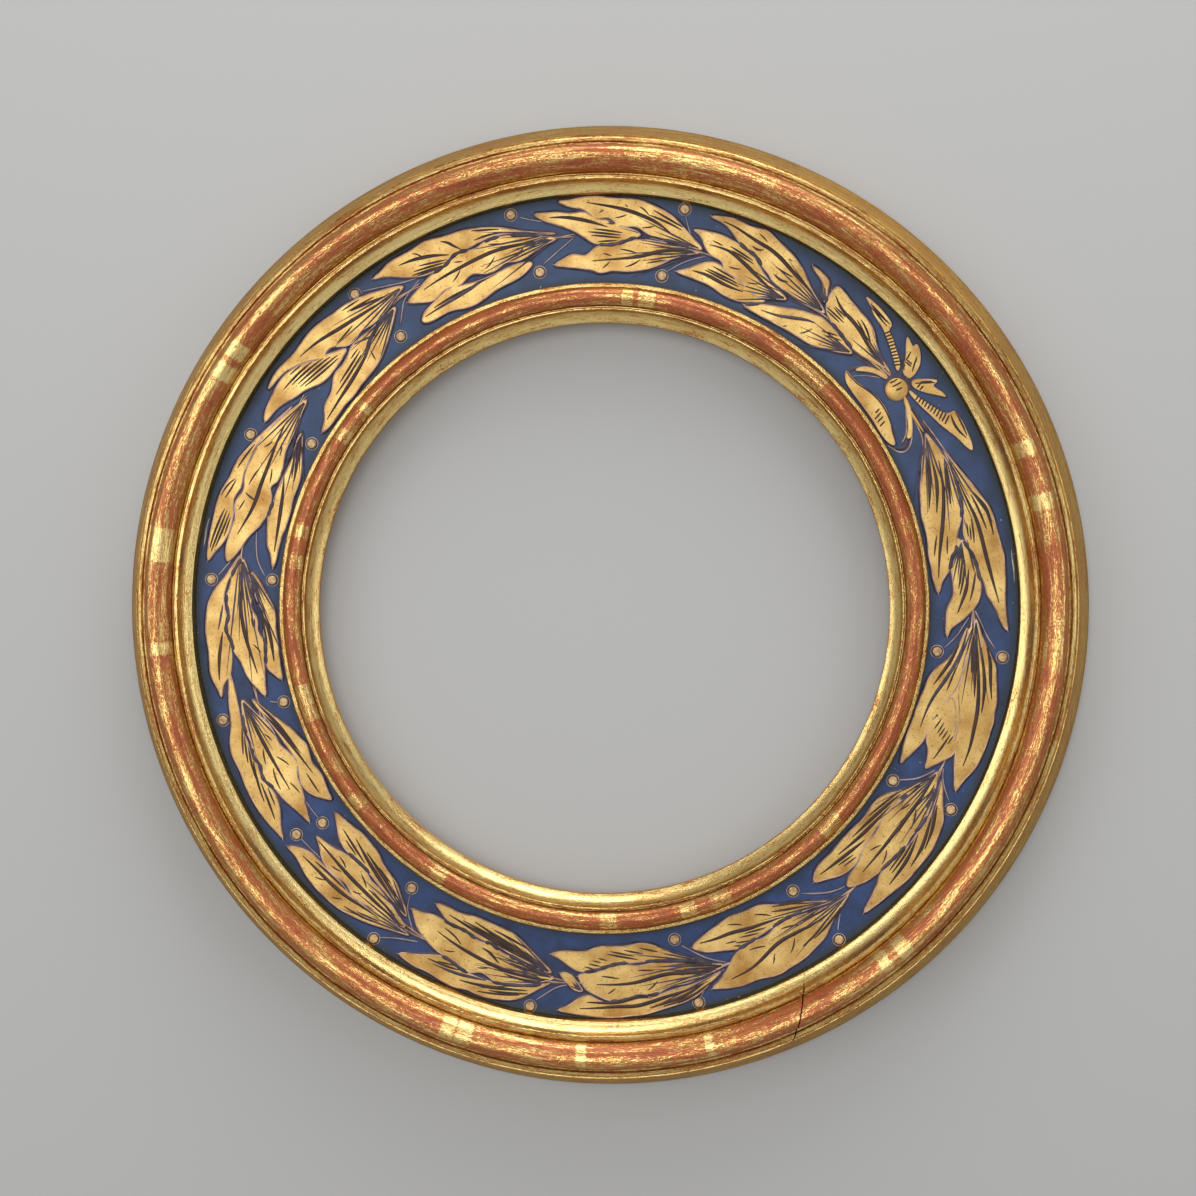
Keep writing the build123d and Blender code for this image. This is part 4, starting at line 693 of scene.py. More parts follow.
# Veins and hatching read off the garland: each stroke is a row of (angle, share
# of the frieze's width), grouped by sprig from the bow round each branch
leafStrokes = {
    "leftSprig1": [
        [(40.5, .52), (43, .515), (45, .54), (47, .59), (49, .62), (50.8, .63), (52.3, .67), (53.3, .72)],
        [(44.6, .56), (46.3, .66), (48.2, .69)], [(45.2, .56), (46.9, .62), (48.6, .66)], [(50.2, .6),
        (52.4, .62)], [(50.2, .57), (52.4, .6)], [(49.8, .54), (53.5, .56)], [(50.4, .51), (53.2, .53)],
        [(46.3, .335), (49, .27)], [(47, .34), (48.8, .3), (50.3, .26)], [(48.3, .37), (50.8, .3)],
        [(49.3, .385), (51.8, .31)], [(53.1, .27), (53.6, .19), (54.4, .145)], [(56.8, .135), (57.4, .105)],
    ],
    "leftSprig2": [
        [(54, .53), (56, .575), (57.5, .62), (59, .65), (61, .7), (63, .76), (65, .8), (67, .815),
        (69, .85), (71, .89), (72.5, .9)], [(65.7, .855), (66.4, .89), (67.2, .905)], [(65.7, .76),
        (66.2, .735), (67, .735), (67.5, .75)], [(60, .635), (61.5, .625), (63, .645)], [(60.3, .56),
        (61, .54), (61.9, .54), (62.8, .56)], [(61.3, .785), (61.9, .79)], [(60.5, .385), (63, .41),
        (65, .46), (67, .52), (69, .575), (71, .62), (73.5, .605)], [(66.5, .6), (70.5, .66)], [(66.2, .57),
        (70, .62)], [(67, .66), (69.5, .71)], [(71.5, .64), (73.2, .66)], [(67.7, .46), (68.6, .435),
        (69.6, .44)], [(64.2, .385), (66, .345)], [(66, .235), (68.5, .225), (71, .255), (73, .28),
        (75, .275)], [(68, .33), (72, .385)], [(67.5, .3), (72.8, .34)], [(67, .27), (70.5, .29),
        (73, .32)],
    ],
    "leftSprig3": [
        [(79, .61), (81, .7), (82.7, .755), (85, .81), (87, .85), (89.5, .885), (92, .92)], [(77.8, .72),
        (80, .78), (82.5, .86)], [(78, .69), (80.5, .76), (83, .8)], [(83, .79), (83.7, .86), (84.6, .885)],
        [(86.2, .87), (86.6, .9)], [(86.3, .785), (87, .755), (87.9, .745)], [(82.1, .685), (82.8, .66),
        (83.9, .65)], [(89.6, .835), (90.3, .8)], [(89, .64), (91, .69), (93, .735), (95.5, .78),
        (97.5, .79)], [(87.5, .49), (90.5, .475)], [(87, .52), (91.5, .55)], [(87, .55), (92, .59)],
        [(86.8, .58), (91, .62)], [(75.5, .49), (78, .465), (80, .43), (82, .375), (84, .32), (86.5, .29),
        (91.5, .26)], [(83.6, .295), (84.5, .23), (86, .195)], [(84.2, .36), (85.5, .385), (87, .395)],
        [(88.3, .315), (89.7, .345)], [(88.5, .255), (89.2, .2), (89.8, .175)], [(79, .37), (82, .3)],
        [(79.5, .33), (82.5, .26)],
    ],
    "leftSprig4": [
        [(113.2, .7), (115, .76), (116.7, .8), (118.5, .84), (120.5, .86)], [(104.5, .73), (107, .77),
        (109, .745)], [(105, .78), (109, .86)], [(111.2, .7), (112.2, .78), (112.7, .84), (113.6, .88)],
        [(116.8, .8), (117.3, .87), (118, .9)], [(113.8, .66), (118, .74)], [(114.2, .64), (119, .71)],
        [(114.8, .62), (119.5, .68)], [(115.5, .61), (119, .65)], [(98, .55), (102, .55), (106, .565),
        (109, .545), (112, .52), (116, .5), (119, .475)], [(102.1, .515), (102.8, .46), (103.6, .425)],
        [(106.8, .5), (107.5, .43), (108.8, .4)], [(112.5, .495), (113.2, .44), (114.4, .4)], [(104.8, .6),
        (106, .63), (107.2, .65)], [(111.7, .57), (113, .6)], [(112, .27), (116, .26), (119, .235)],
    ],
    "leftSprig5": [
        [(123, .61), (127, .63), (130, .66), (133, .7), (135, .74), (137.5, .79), (140, .815)],
        [(131.2, .625), (133, .6), (134.8, .6)], [(124.8, .66), (127.3, .71), (130, .76)], [(126, .72),
        (130.5, .78)], [(128, .8), (131, .83)], [(136, .5), (139, .54), (143.5, .6)], [(136.3, .47),
        (140, .5), (143, .56)], [(137, .55), (140, .6), (143.3, .64)], [(138, .6), (141, .66), (144, .69)],
        [(139.5, .67), (142, .72), (145.3, .74)], [(140.7, .74), (143, .78)], [(131, .32), (133, .26),
        (135.5, .21), (138, .175), (141.5, .15), (145.3, .13)], [(131.7, .27), (132.1, .15)], [(133, .385),
        (135, .36)], [(133, .35), (136, .3), (139, .27)], [(133.3, .31), (136.5, .245), (141, .215)],
    ],
    "leftSprig6": [
        [(154.5, .72), (156.5, .77), (158.8, .8)], [(160.3, .78), (161.5, .86), (163.3, .88)],
        [(160.5, .77), (162, .79), (163.5, .83)], [(165, .8), (168, .86), (171, .88)], [(165.2, .77),
        (169, .82), (171.5, .86)], [(165.5, .735), (168.5, .77), (170.8, .82)], [(166, .71), (169, .74)],
        [(149, .515), (152, .51), (156, .48), (160, .48), (162, .475), (164, .49), (166, .53),
        (168.3, .59)], [(152.9, .55), (153.6, .565), (154.3, .61)], [(157.5, .555), (158.5, .59),
        (160.5, .61)], [(162.9, .6), (164.7, .64)], [(152.6, .445), (153.3, .41), (154.5, .4)],
        [(156.8, .425), (157.8, .4), (159.2, .385)], [(149, .3), (152, .24), (155.5, .16), (157.5, .13)],
        [(151.8, .29), (154.5, .22), (157, .17)], [(157, .265), (160, .2), (163, .165), (166, .14),
        (170, .13)],
    ],
    "leftSprig7": [
        [(183.4, .69), (185.5, .73), (188, .775), (190.5, .8)], [(184, .71), (187, .745)], [(174, .47),
        (179, .47), (182, .455), (185, .42), (187.5, .38), (190.5, .345)], [(185.7, .35), (186.4, .29),
        (187.3, .265)], [(181.3, .345), (182.9, .33)], [(181.5, .31), (183, .31)], [(180, .25), (182, .18),
        (184, .14), (187, .125), (189, .13)], [(181, .23), (183.5, .19), (186, .18)],
    ],
    "leftSprig8": [
        [(198, .68), (200.5, .74), (202, .78)], [(199.5, .69), (202, .74), (203.5, .765)], [(201, .68),
        (203, .73), (206, .76)], [(203.5, .7), (206.5, .77), (209.7, .8)], [(207, .73), (210, .75),
        (212.7, .8)], [(208, .68), (211, .71)], [(195, .575), (198, .54), (201, .51), (205, .485),
        (210, .465)], [(200.2, .465), (200.9, .42), (201.7, .405)], [(204.3, .43), (205.3, .37),
        (206.5, .335)], [(209, .425), (210, .395), (211.3, .385)], [(202.3, .535), (203.5, .57),
        (204.8, .58)], [(205.8, .52), (207, .56), (209.3, .56)], [(195, .44), (198, .32), (201, .23),
        (205.5, .155)], [(197, .4), (200, .29), (203, .22), (209.5, .135)], [(209, .2), (213, .19)],
    ],
    "rightSprig8": [
        [(219.5, .785), (222, .765), (225, .76), (228, .75), (231, .715), (234, .7)], [(223, .84),
        (223.9, .81), (224.5, .77)], [(226.8, .87), (227.5, .84), (228.1, .8)], [(221.3, .715), (224, .69),
        (227.8, .69)], [(229, .85), (232, .82), (234, .77)], [(231, .8), (234.5, .73)], [(219, .53),
        (223, .53), (226, .545), (230, .56), (234, .59), (238, .62)], [(223.4, .61), (224.4, .6),
        (225.2, .57)], [(223.2, .465), (224.5, .47), (225.3, .505)], [(228.5, .65), (229.3, .635),
        (229.9, .6)], [(227.7, .43), (229, .46), (229.8, .515)], [(230.3, .51), (233, .52), (236, .57)],
        [(220.5, .22), (224, .265), (227, .31)], [(222, .28), (225, .31)], [(223, .18), (226, .24),
        (229, .3), (232, .36), (235, .44)], [(226, .2), (229, .25), (232, .31), (234.5, .38)],
        [(229.3, .235), (232.5, .29)],
    ],
    "rightSprig7": [
        [(243.5, .8), (246.5, .8), (248.5, .77)], [(245, .78), (247.5, .745)], [(249, .88), (252, .86),
        (256, .81), (259, .77)], [(252, .93), (255, .9), (258, .84)], [(253.5, .88), (256, .86),
        (259.5, .8)], [(243, .465), (246, .51), (249, .54), (252, .575), (255, .6), (259, .62), (262, .6)],
        [(245.2, .63), (246.2, .62), (246.8, .59)], [(250.9, .67), (252, .65), (252.7, .62)],
        [(243.8, .395), (245.8, .41), (247.3, .49)], [(250.5, .435), (251.7, .44), (253, .5),
        (253.9, .545)], [(255, .64), (258, .68), (261.5, .64)], [(255.5, .5), (259, .54), (262, .56)],
        [(243.5, .23), (247, .26), (250.5, .29), (254, .35), (258, .43)], [(246, .22), (250, .25),
        (254, .31), (258, .4), (261, .47)], [(248, .18), (252, .25), (256, .32), (259.5, .4)],
        [(251.5, .19), (255, .23), (258, .3)],
    ],
    "rightSprig6": [
        [(266.9, .895), (269.5, .88), (272, .86), (275, .87), (277, .84), (280, .79), (283, .77),
        (286, .72)], [(267.9, .815), (270, .82), (273, .81), (275.3, .75), (277.5, .79)], [(277, .9),
        (280, .86), (283, .81), (285.5, .73)], [(279, .9), (282, .88), (284.5, .8)], [(281, .9), (284, .84),
        (287, .72)], [(269.3, .605), (272, .61), (275, .6), (277.5, .565), (280, .535), (283, .56),
        (286, .6), (288, .62)], [(271, .71), (271.6, .69), (272.1, .65)], [(277, .695), (278, .66),
        (278.7, .6)], [(270, .51), (271.3, .515), (272.8, .54)], [(275.8, .455), (277, .46), (278.4, .48)],
        [(283, .52), (286, .56), (288, .6)], [(284, .49), (286.5, .53), (288.5, .58)], [(267.3, .405),
        (269, .43)], [(268, .37), (270, .395)], [(268.6, .33), (270, .35)], [(269.5, .3), (271, .325)],
        [(271, .25), (273.5, .29), (276, .33)], [(271.5, .22), (275.5, .29)], [(273.8, .21), (277, .27)],
        [(276.5, .2), (279.5, .27)],
    ],
    "rightSprig5": [
        [(289.5, .775), (292, .76), (294.5, .7), (297, .62), (299, .59), (302, .6), (304.5, .625),
        (307, .61)], [(296, .79), (296.5, .75), (296.8, .69)], [(299, .77), (300, .72), (300.6, .64)],
        [(293.6, .535), (295, .54), (296.1, .57)], [(299.5, .475), (301, .49), (302.2, .535)], [(301, .77),
        (303.5, .74), (306, .67)], [(303, .76), (306, .73), (309.5, .63)], [(302.5, .51), (305, .54),
        (307.5, .56)], [(286.5, .275), (289, .285), (292, .27), (295, .31), (298, .33), (300.8, .365)],
        [(290.5, .365), (292.3, .385)], [(291.5, .425), (293, .46)], [(292, .4), (294.3, .44)], [(293, .36),
        (296, .4)], [(294, .34), (297.5, .38)], [(291.9, .175), (293.2, .195), (294.2, .24)], [(296.7, .19),
        (298, .22), (299.1, .285)], [(299.5, .25), (302, .32), (305, .4)], [(300, .2), (303, .28),
        (306, .37)],
    ],
    "rightSprig4": [
        [(316.5, .82), (319, .8), (322, .77), (324.8, .7)], [(318, .75), (321, .74), (324.3, .69)],
        [(318, .71), (320.5, .69), (322, .69)], [(320.5, .86), (323, .84), (326, .77), (328, .71)],
        [(323.7, .86), (326, .82), (328.5, .74), (330, .7)], [(315, .505), (319, .49), (323, .48),
        (327, .49), (331, .51), (334, .52)], [(318, .6), (319.3, .58), (320.1, .53)], [(318.3, .395),
        (319.2, .41), (320.1, .45)], [(325, .6), (326.7, .57), (327.8, .52)], [(326.3, .375), (327.2, .41),
        (328.1, .43)], [(328.8, .61), (332.3, .6)], [(329.5, .565), (332.5, .56)], [(329, .37),
        (331.5, .42)], [(309.7, .205), (313, .22), (317, .25), (319, .27)], [(313, .26), (316, .29)],
        [(313.5, .31), (316, .33)], [(314.2, .17), (318, .2), (322, .225), (326, .26)], [(318, .145),
        (322, .17), (326, .225), (328.5, .28)], [(322.5, .13), (326, .18), (328.5, .25)],
    ],
    "rightSprig3": [
        [(336.8, .755), (339.5, .755), (342, .725), (345, .705), (348, .66), (352, .6), (356, .55)],
        [(347.3, .82), (350, .76), (353, .73), (355, .66)], [(345, .75), (348, .73), (351, .68),
        (354.5, .61)], [(347, .63), (350, .585), (353, .56), (356, .53)], [(350.5, .54), (353, .52),
        (357, .51)], [(336, .42), (338.5, .46), (340.5, .49)], [(339.3, .42), (341, .45)], [(339.6, .38),
        (341.3, .41)], [(340, .35), (342, .38)], [(340.5, .3), (342.5, .34)], [(339, .5), (340.5, .53)],
        [(347.5, .15), (350, .23), (352.5, .31), (355, .37)], [(347, .31), (349.5, .34), (351, .36)],
    ],
    "rightSprig2": [
        [(361.2, .785), (363.5, .74), (365.5, .71), (368, .68), (371, .665), (374, .65), (377, .6),
        (380, .58)], [(371, .8), (374, .8), (376, .76), (378, .68)], [(372, .735), (375, .71),
        (377.5, .66)], [(370.3, .57), (372, .59), (374, .595)], [(370.8, .545), (373, .56)], [(371.5, .52),
        (373.5, .535)], [(359.6, .32), (362, .39), (364, .44), (366.5, .47)], [(361.5, .46), (364, .52),
        (366, .54)], [(362.5, .35), (365, .41), (368, .44)], [(363.5, .34), (366.5, .39), (369, .43)],
        [(364.2, .36), (367.5, .4)], [(365.5, .125), (369, .16), (372, .22), (375, .29), (378, .36),
        (381, .42), (384, .46)], [(369.3, .255), (370.7, .27), (372.2, .295)], [(369.3, .11), (371, .135),
        (372.7, .18)], [(376.3, .24), (379, .31), (382, .37), (384.5, .39)], [(377.2, .17), (380, .24),
        (383, .32), (385.5, .36)], [(377, .42), (380, .46), (383, .5)],
    ],
}
veins = {"height": 14.62, "thin": 1.15, "growth": 0.065, "thick": 2.4}
strokes = []
for sprig in leafStrokes.values():
    for points in sprig:
        width = min(veins["thick"], veins["thin"] + veins["growth"] * strokeLength(points))
        strokes.append(stroke(points, veins["height"], width))
paintedLines("leaf_veins", strokes, umberPaint)

# Both branches grow away from the bow, so a leaf's root is its end nearest the bow
# and its tip the other. At the root it darkens in a few tapering strokes, and
# a pale flick draws the tip out
root = {"bow": 37.0, "reach": 0.5, "lines": 6, "fan": 6.0, "width": 1.2, "inset": 0.02}
tipFlick = {"back": 2.2, "out": 1.4, "width": 0.9}


def pastBow(point):
    return (degrees(atan2(point.z, point.x)) - root["bow"]) % 360


rootStrokes, tipStrokes = [], []
for loops, ends in ((leftLoops, (min, max)), (rightLoops, (max, min))):
    for loop in loops:
        start, end = (pick(loop, key=pastBow) for pick in ends)
        for number in range(root["lines"]):
            fan = (number - (root["lines"] - 1) / 2) * root["fan"]
            turned = Matrix.Rotation(radians(fan), 3, "Y") @ (end - start)
            reach = root["reach"] * (1, 0.6, 0.85)[number % 3]
            line = [start + turned * share for share in (root["inset"], reach * 0.3, reach * 0.6, reach)]
            line = [Vector((point.x, -veins["height"] * mm, point.z)) for point in line]
            rootStrokes.append((line, [0.25, root["width"], root["width"] * 0.8, 0.15]))
        along = (end - start).normalized() * mm
        line = [end - along * tipFlick["back"], end, end + along * tipFlick["out"]]
        tipStrokes.append((line, [0.2, tipFlick["width"], 0.15]))
paintedLines("root_shades", rootStrokes, shadePaint)
paintedLines("tip_flicks", tipStrokes, rimPaint)

# Where two leaves lie side by side the upper one throws a scalloped dark edge
overlap = {"near": 1.7, "width": 1.3, "ends": 0.3, "swell": 1.3, "scallop": 5.5, "shortest": 5}
allLoops = leftLoops + rightLoops
edgePoints = KDTree(sum(len(loop) for loop in allLoops))
owners = []
for number, loop in enumerate(allLoops):
    for point in loop:
        edgePoints.insert(point, len(owners))
        owners.append(number)
edgePoints.balance()
edgeStrokes = []
for number, loop in enumerate(allLoops):
    run = []
    for point in loop + [None]:
        nearby = edgePoints.find_range(point, overlap["near"] * mm) if point else []
        if any(owners[other] > number for spot, other, away in nearby):
            run.append(point.copy())
            continue
        if len(run) >= overlap["shortest"]:
            gone, widths = 0, []
            for one, two in zip(run, run[1:] + run[-1:]):
                widths.append(overlap["width"] + overlap["swell"] * abs(sin(pi * gone / overlap["scallop"])))
                gone += (two - one).length / mm
            widths[0] = widths[-1] = overlap["ends"]
            edgeStrokes.append((run, widths))
        run = []
paintedLines("leaf_overlaps", edgeStrokes, shadePaint)

# Dark wedges between the leaves, where one lies over the next
wedge = {"height": 14.61, "width": 2.2}
wedges = [
    [(55.2, .72), (54.6, .65), (53.8, .57)],
    [(53.2, .34), (54.3, .325), (56, .27), (57.5, .22), (59.5, .165), (62, .14)],
    [(59, .42), (62, .45), (65.5, .5)],
    [(107.5, .3), (110, .29), (112, .25), (114, .23), (118, .21), (121, .2)],
    [(127, .45), (129, .42), (131, .36), (132, .3), (133.5, .24), (135.5, .21)],
    [(129, .35), (131, .42), (133, .45)],
    [(161.8, .62), (162.3, .55), (162.5, .48)], [(179.3, .68), (181, .7), (183, .74)],
    [(244.5, .83), (247.5, .83), (250.5, .8), (253.5, .77)],
    [(340, .145), (343, .145), (346, .19), (349, .28), (352, .36), (355, .42), (358, .45)],
    [(366, .53), (368.5, .51), (371, .5)],
]
wedgeStrokes = [stroke(points, wedge["height"], wedge["width"]) for points in wedges]
paintedLines("leaf_wedges", wedgeStrokes, shadePaint)

# The berries' stems: a pale line on a dark one
stem = {"height": 14.16, "width": 0.8, "shadeHeight": 14.04, "shadeWidth": 2.0}
stemLines = [
    [(77.9, .86), (77.3, .75), (76, .6), (74.5, .53)], [(79, .2), (77.5, .3), (75.5, .4), (73.5, .47)],
    [(101.7, .855), (100, .79), (98.6, .76)], [(99.5, .28), (97, .4), (94.3, .53)],
    [(127, .86), (123.5, .74), (120.5, .65), (118.7, .63)],
    [(125.3, .28), (123.5, .42), (122.2, .52), (119, .6)],
    [(174.9, .75), (173.5, .67), (171.5, .57)], [(174.4, .2), (172.5, .3), (170, .35), (167.3, .38)],
    [(195.5, .28), (195.8, .24), (196, .19)], [(217.3, .68), (219.5, .665), (221.5, .645)],
    [(216.3, .37), (214, .385), (212.5, .38)], [(236, .88), (238, .78), (240, .72), (241, .69)],
    [(236.2, .27), (236.7, .4), (238, .5), (239.5, .6)], [(260.5, .86), (262, .75), (263.5, .66), (265, .63)],
    [(284.3, .89), (285.8, .76), (287.5, .68), (289, .64)],
    [(283.5, .25), (285.5, .38), (287.5, .5), (289.5, .57)],
    [(306.5, .84), (307.5, .75), (308.3, .7)], [(305.3, .25), (307.5, .37), (310, .47), (311.5, .49)],
    [(331.3, .8), (332.5, .69), (334, .6), (335.3, .57)],
    [(330.4, .18), (331.5, .32), (333, .42), (334.5, .49)],
    [(354.5, .77), (356, .67), (358, .6), (360, .52)], [(353.9, .2), (355.5, .31), (357.5, .39), (359, .45)],
]
stemShades = [stroke(points, stem["shadeHeight"], stem["shadeWidth"], 0.6) for points in stemLines]
paintedLines("stem_shades", stemShades, shadePaint)
stems = [stroke(points, stem["height"], stem["width"], 0.7) for points in stemLines]
paintedLines("berry_stems", stems, stemPaint)

# The branch itself, a bundle of dark and pale lines that runs under each sprig's root
branch = {"reach": 7.5, "lines": 5, "spread": 0.2, "height": 14.2, "width": 0.9, "shadeHeight": 14.08,
          "shadeWidth": 1.6, "meet": 197}
darkLines, paleLines = [], []
for angle, share in branchRoots:
    towards = 1 if angle < branch["meet"] else -1
    for number in range(branch["lines"]):
        fan = (number / (branch["lines"] - 1) - 0.5) * branch["spread"]
        reach = towards * branch["reach"]
        line = [(angle + reach, share + fan), (angle + reach / 3, share + fan * 0.4),
                (angle, share + fan * 0.15), (angle - reach * 0.45, share - fan * 0.3)]
        (darkLines if number % 2 == 0 else paleLines).append(line)
branchShades = [stroke(points, branch["shadeHeight"], branch["shadeWidth"], 0.4) for points in darkLines]
paintedLines("branch_shades", branchShades, shadePaint)
branchLines = [stroke(points, branch["height"], branch["width"], 0.4) for points in paleLines]
paintedLines("branch_lines", branchLines, rimPaint)

# Bare gesso where the paint has come away beside the outer moulding
wornPaint = {"light": "C9C2B0", "dark": "7F7C74", "height": 14.02, "width": 1.1}
wornPatches = [
    [(166.9, .955), (168.3, .968), (169.8, .955), (171.1, .96)],
    [(3.9, .965), (5.6, .975), (7.2, .965), (8.5, .97)],
    [(88.5, .985), (88.9, .98)],
]
bareGesso = paintMaterial("bareGesso", wornPaint["light"], wornPaint["dark"], size=2.2)
patches = [stroke(points, wornPaint["height"], wornPaint["width"]) for points in wornPatches]
paintedLines("worn_patches", patches, bareGesso)

# Each berry sits in a painted ring, dark inside and pale outside, given as
# (radius, width of the line, height). Each berry's place is its angle and share
berries = {"shade": (2.65, 1.0, 14.04), "rim": (3.2, 0.45, 14.06), "step": 15}
berryPlaces = [
    (78.2, .93), (79.7, .145), (102.9, .905), (100.3, .2), (128, .88), (126.3, .175), (153.5, .815),
    (150.2, .135),
    (175.6, .825), (174.9, .115), (196.3, .875), (196.2, .125), (216.4, .695), (217.4, .365), (235.3, .935),
    (235.7, .19), (259.8, .94), (284, .935), (282.6, .165), (305.9, .93), (304.4, .175), (330.4, .86),
    (329.8, .13), (353.4, .86), (353.1, .125),
]


def berryRings(radius, width, height):
    rings = []
    for angle, share in berryPlaces:
        middle = friezePoint(angle, share, height)
        loop = [middle + Vector((cos(radians(a)), 0, sin(radians(a)))) * radius * mm
                for a in range(0, 360, berries["step"])]
        rings.append((loop, [width] * len(loop)))
    return rings


paintedLines("berry_shades", berryRings(*berries["shade"]), shadePaint, cyclic=True)
paintedLines("berry_rims", berryRings(*berries["rim"]), berryPaint, cyclic=True)

# Painting on the ribbon: ticks along both long tails, the dark inside of their
# folds, and the loops that run down to the sight moulding
bowTicks = [
    [(33.45, .066), (33.75, .142)], [(34.25, .069), (34.55, .158)], [(34.95, .066), (35.3, .165)],
    [(35.75, .11), (35.95, .173)], [(34.9, .72), (34.7, .66)], [(35.4, .71), (35.2, .65)],
    [(38.2, .74), (39.3, .72)], [(38.4, .76), (39.5, .745)], [(38.8, .69), (39.8, .7)],
]
for number in range(11):
    along = number / 10
    bowTicks.append([(29.3 + 4.8 * along, .79 - .18 * along), (28.5 + 5.3 * along, .7 - .14 * along)])
    bowTicks.append([(39.4 + 4.6 * along, .665 + .155 * along), (39.95 + 4.4 * along, .6 + .155 * along)])
bowFolds = [
    [(25.3, .845), (26.6, .8), (28.2, .79), (29.3, .81)], [(25.6, .86), (27.5, .875), (29.3, .865)],
    [(44.7, .875), (46, .87), (47.8, .885), (48.7, .895)], [(44.8, .835), (46.5, .845), (48.5, .875)],
    [(34.3, .85), (35.1, .76), (35.9, .66)], [(34.7, .83), (35.6, .72)],
    [(37.5, .71), (38.2, .78), (38.8, .86)],
    [(39.9, .84), (39.5, .78), (39.4, .73)], [(38.4, .65), (39.2, .69), (39.7, .72)],
]
bandEdge = [(29.3, .115), (31.8, .17), (34.5, .218), (37.2, .228), (39.8, .195), (42, .14), (44.2, .16)]
loopShades = [
    [(31, .31), (29, .25), (28.1, .16), (28.7, .09)], [(41.6, .385), (43.2, .31), (44.2, .2), (44.1, .15)],
    [(34.4, .465), (31, .455), (27, .46), (22.6, .49)], [(33, .485), (29, .5), (25, .52), (21.5, .56)],
    [(39.5, .49), (41, .49), (43, .5)], [(40, .44), (42.5, .4), (45, .35)],
]
loopLines = [
    [(34.5, .46), (31, .385), (28.6, .29), (27.6, .2), (27.7, .12), (29, .055), (30, .03)],
    [(33.8, .43), (31.2, .325), (29.6, .25), (29.2, .18)], [(39.9, .39), (41.8, .29), (43, .17)],
    [(33.4, .435), (30, .43), (27.5, .4), (25.6, .32)], [(30.6, .51), (27, .55), (23, .6)],
]
stemGold = [
    [(39.3, .515), (41.3, .535), (44, .56)], [(39.5, .47), (41.8, .445), (44, .43)],
    [(34.2, .45), (31.5, .445), (29, .45)],
]
# Height of each kind of line, its width and how full its ends are
bowBrush = {
    "bow_ticks": (14.74, 1.35, 0.5),
    "bow_folds": (14.73, 1.7, 0.25),
    "band_edge": (14.72, 0.9, 0.6),
    "loop_shades": (14.05, 2.8, 0.3),
    "loop_lines": (14.2, 0.8, 0.5),
    "stem_gold": (14.3, 1.7, 0.4),
}
for name, lines, paint in (("bow_ticks", bowTicks, umberPaint), ("bow_folds", bowFolds, umberPaint),
                           ("band_edge", [bandEdge], umberPaint), ("loop_shades", loopShades, shadePaint),
                           ("loop_lines", loopLines, rimPaint), ("stem_gold", stemGold, leafGold)):
    paintedLines(name, [stroke(points, *bowBrush[name]) for points in lines], paint)

knotTicks = [
    [(36.55, .51), (36.6, .475), (36.75, .44)], [(37.3, .54), (37.35, .485), (37.55, .43)],
    [(38.0, .525), (38.05, .48), (38.2, .44)],
]
ticks = []
for points in knotTicks:
    line = []
    for angle, share in points:
        point = friezePoint(angle, share, 0)
        away = hypot(point.x - knotTop.x, point.z - knotTop.z) / (knot["radius"] * mm)
        point.y = knotTop.y - relief["knot"] * mm * (1 - away ** 2) ** 0.5
        line.append(point)
    ticks.append((line, [0.7, 1.3, 0.6]))
paintedLines("knot_ticks", ticks, umberPaint, flat=1.0)
print("strokes painted")


# CAD nodes that keep their shape and get a finish
def dress(nodeName, material):
    data = nodes[nodeName].data
    data.materials.clear()
    data.materials.append(material)


dress("frieze_ground", friezePaint)
dress("laurel_berries", berryGold)
carcass = {"joint": 20, "segments": 6}
for number in range(carcass["segments"]):
    middle = carcass["joint"] + 360 / carcass["segments"] * (number + 0.5)
    dress(f"carcass_segment_{number + 1}", woodMaterial(f"poplarBoard{number + 1}", middle, 40 + number))
dress("spline_keys", mouldingWood[0])
for name in ("hanger_strap", "d_ring", "turn_button_1", "turn_button_2", "turn_button_3", "turn_button_4"):
    dress(name, brass)
for name in ("hanger_screws", "button_screws"):
    dress(name, steel)
print("carcass and fittings dressed")


# A pale wall close behind the hung frame, running in a curve down to a floor
room = {
    "wall": 6.0,
    "floor": -640.0,
    "curve": 260.0,
    "reach": 2600.0,
    "height": 2200.0,
    "paint": "BABAB9",
}


def wallMaterial():
    material, tree = newMaterial("paleWall")
    place = ringPlace(tree)
    weave = plainNoise(tree, place["spot"], 1.6, 12.0, 2.0)
    relief = addNode(tree, "Bump", {"Height": weave, "Strength": 0.15, "Distance": 0.0001})
    paint = addNode(tree, "BsdfDiffuse", {"Color": linearColor(room["paint"]), "Normal": relief})
    clear = addNode(tree, "BsdfTransparent")
    behind = addNode(tree, "NewGeometry", output="Backfacing")
    # it holds no light back from the frame's rear
    rays = addNode(tree, "LightPath").node.outputs
    lets = addNode(tree, "Math", {0: rays["Is Shadow Ray"], 1: rays["Is Diffuse Ray"]}, operation="MAXIMUM")
    lets = addNode(tree, "Math", {0: lets, 1: behind}, operation="MAXIMUM")
    finishMaterial(tree, addNode(tree, "MixShader", {0: lets, 1: paint, 2: clear}))
    return material


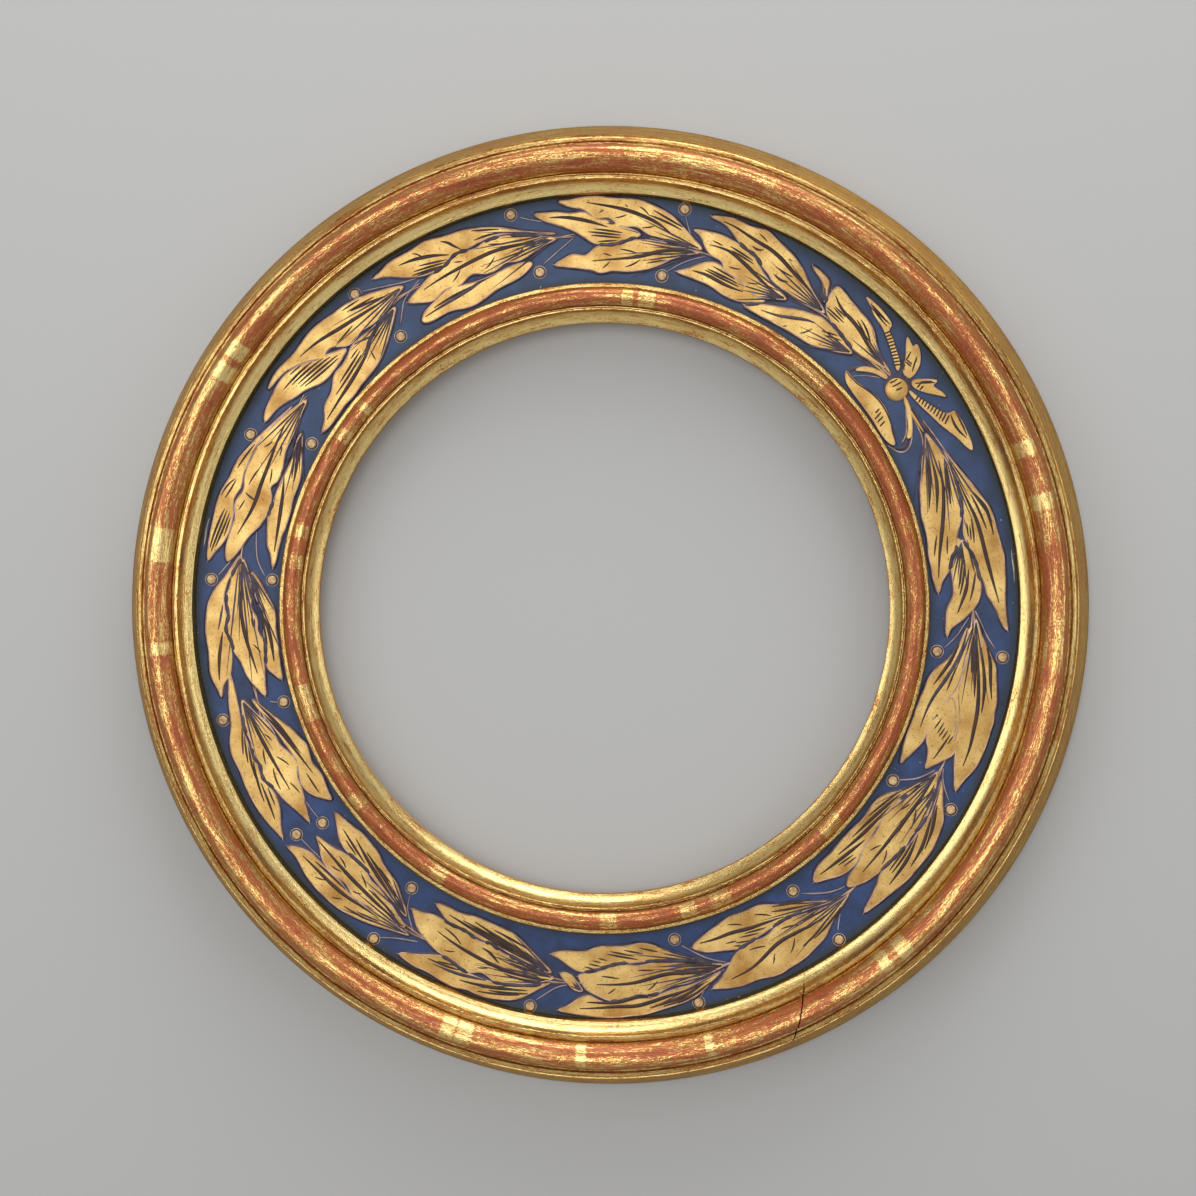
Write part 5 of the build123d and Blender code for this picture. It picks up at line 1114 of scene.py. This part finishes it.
bm = bmesh.new()
outline = [(room["wall"], room["height"]), (room["wall"], room["floor"] + room["curve"])]
for turn in range(10, 91, 10):
    forward, down = 1 - cos(radians(turn)), 1 - sin(radians(turn))
    outline.append((room["wall"] - room["curve"] * forward, room["floor"] + room["curve"] * down))
outline += [(-room["reach"], room["floor"])]
line = [bm.verts.new((-room["reach"] * mm, y * mm, z * mm)) for y, z in outline]
edges = [bm.edges.new(pair) for pair in zip(line, line[1:])]
wide = bmesh.ops.extrude_edge_only(bm, edges=edges)
bmesh.ops.translate(bm, verts=[v for v in wide["geom"] if isinstance(v, bmesh.types.BMVert)],
                    vec=(2 * room["reach"] * mm, 0, 0))
bmesh.ops.recalc_face_normals(bm, faces=bm.faces)
if sum(f.normal.y for f in bm.faces) > 0:
    bmesh.ops.reverse_faces(bm, faces=bm.faces)
mesh = bpy.data.meshes.new("wall_and_floor")
bm.to_mesh(mesh)
bm.free()
backdrop = bpy.data.objects.new("wall_and_floor", mesh)
bpy.context.scene.collection.objects.link(backdrop)
mesh.materials.append(wallMaterial())
for polygon in mesh.polygons:
    polygon.use_smooth = True

# Soft boxes: a key close to the camera, two above, one at each side and one for the back
lamps = {
    "key": {"at": (-0.25, -1.9, 0.25), "size": 0.85, "watts": 7.5},
    "high": {"at": (0.25, -0.95, 1.45), "size": 1.3, "watts": 5.5},
    "top": {"at": (0.2, -0.42, 1.7), "size": 1.2, "watts": 17},
    "left": {"at": (-1.35, -1.45, 0.3), "size": 1.1, "watts": 7},
    "right": {"at": (1.6, -1.2, 0.05), "size": 1.0, "watts": 4},
    "back": {"at": (0.7, 1.9, 1.1), "size": 1.2, "watts": 30},
}
for name, lamp in lamps.items():
    light = bpy.data.lights.new(name, "AREA")
    light.shape = "SQUARE"
    light.size = lamp["size"]
    light.energy = lamp["watts"]
    holder = bpy.data.objects.new(name, light)
    holder.location = lamp["at"]
    holder.rotation_mode = "QUATERNION"
    holder.rotation_quaternion = (-Vector(lamp["at"])).to_track_quat("-Z", "Y")
    bpy.context.scene.collection.objects.link(holder)

world = bpy.data.worlds.new("studio")
bpy.context.scene.world = world
world.use_nodes = True
surround = {"color": "AAAAAA", "strength": 1.0}
world.node_tree.nodes["Background"].inputs[0].default_value = linearColor(surround["color"])
world.node_tree.nodes["Background"].inputs[1].default_value = surround["strength"]

# The photograph's viewpoint, a little to the right and above the ring's centre
view = {"azimuth": 3.34, "elevation": 1.94, "distance": 888.0, "focal": 51.1, "shiftRight": -0.0040,
        "shiftUp": 0.0094}
lens = bpy.data.cameras.new("photoCamera")
lens.lens = view["focal"]
lens.sensor_width = 36
lens.shift_x = view["shiftRight"]
lens.shift_y = view["shiftUp"]
lens.clip_start = 0.01
camera = bpy.data.objects.new("photoCamera", lens)
turn, rise = radians(view["azimuth"]), radians(view["elevation"])
back = Vector((sin(turn) * cos(rise), -cos(turn) * cos(rise), sin(rise)))
camera.location = back * view["distance"] * mm
camera.rotation_mode = "QUATERNION"
camera.rotation_quaternion = (-back).to_track_quat("-Z", "Y")
bpy.context.scene.collection.objects.link(camera)
bpy.context.scene.camera = camera
bpy.context.scene.view_settings.view_transform = "Standard"
print("wall, lamps and camera set")
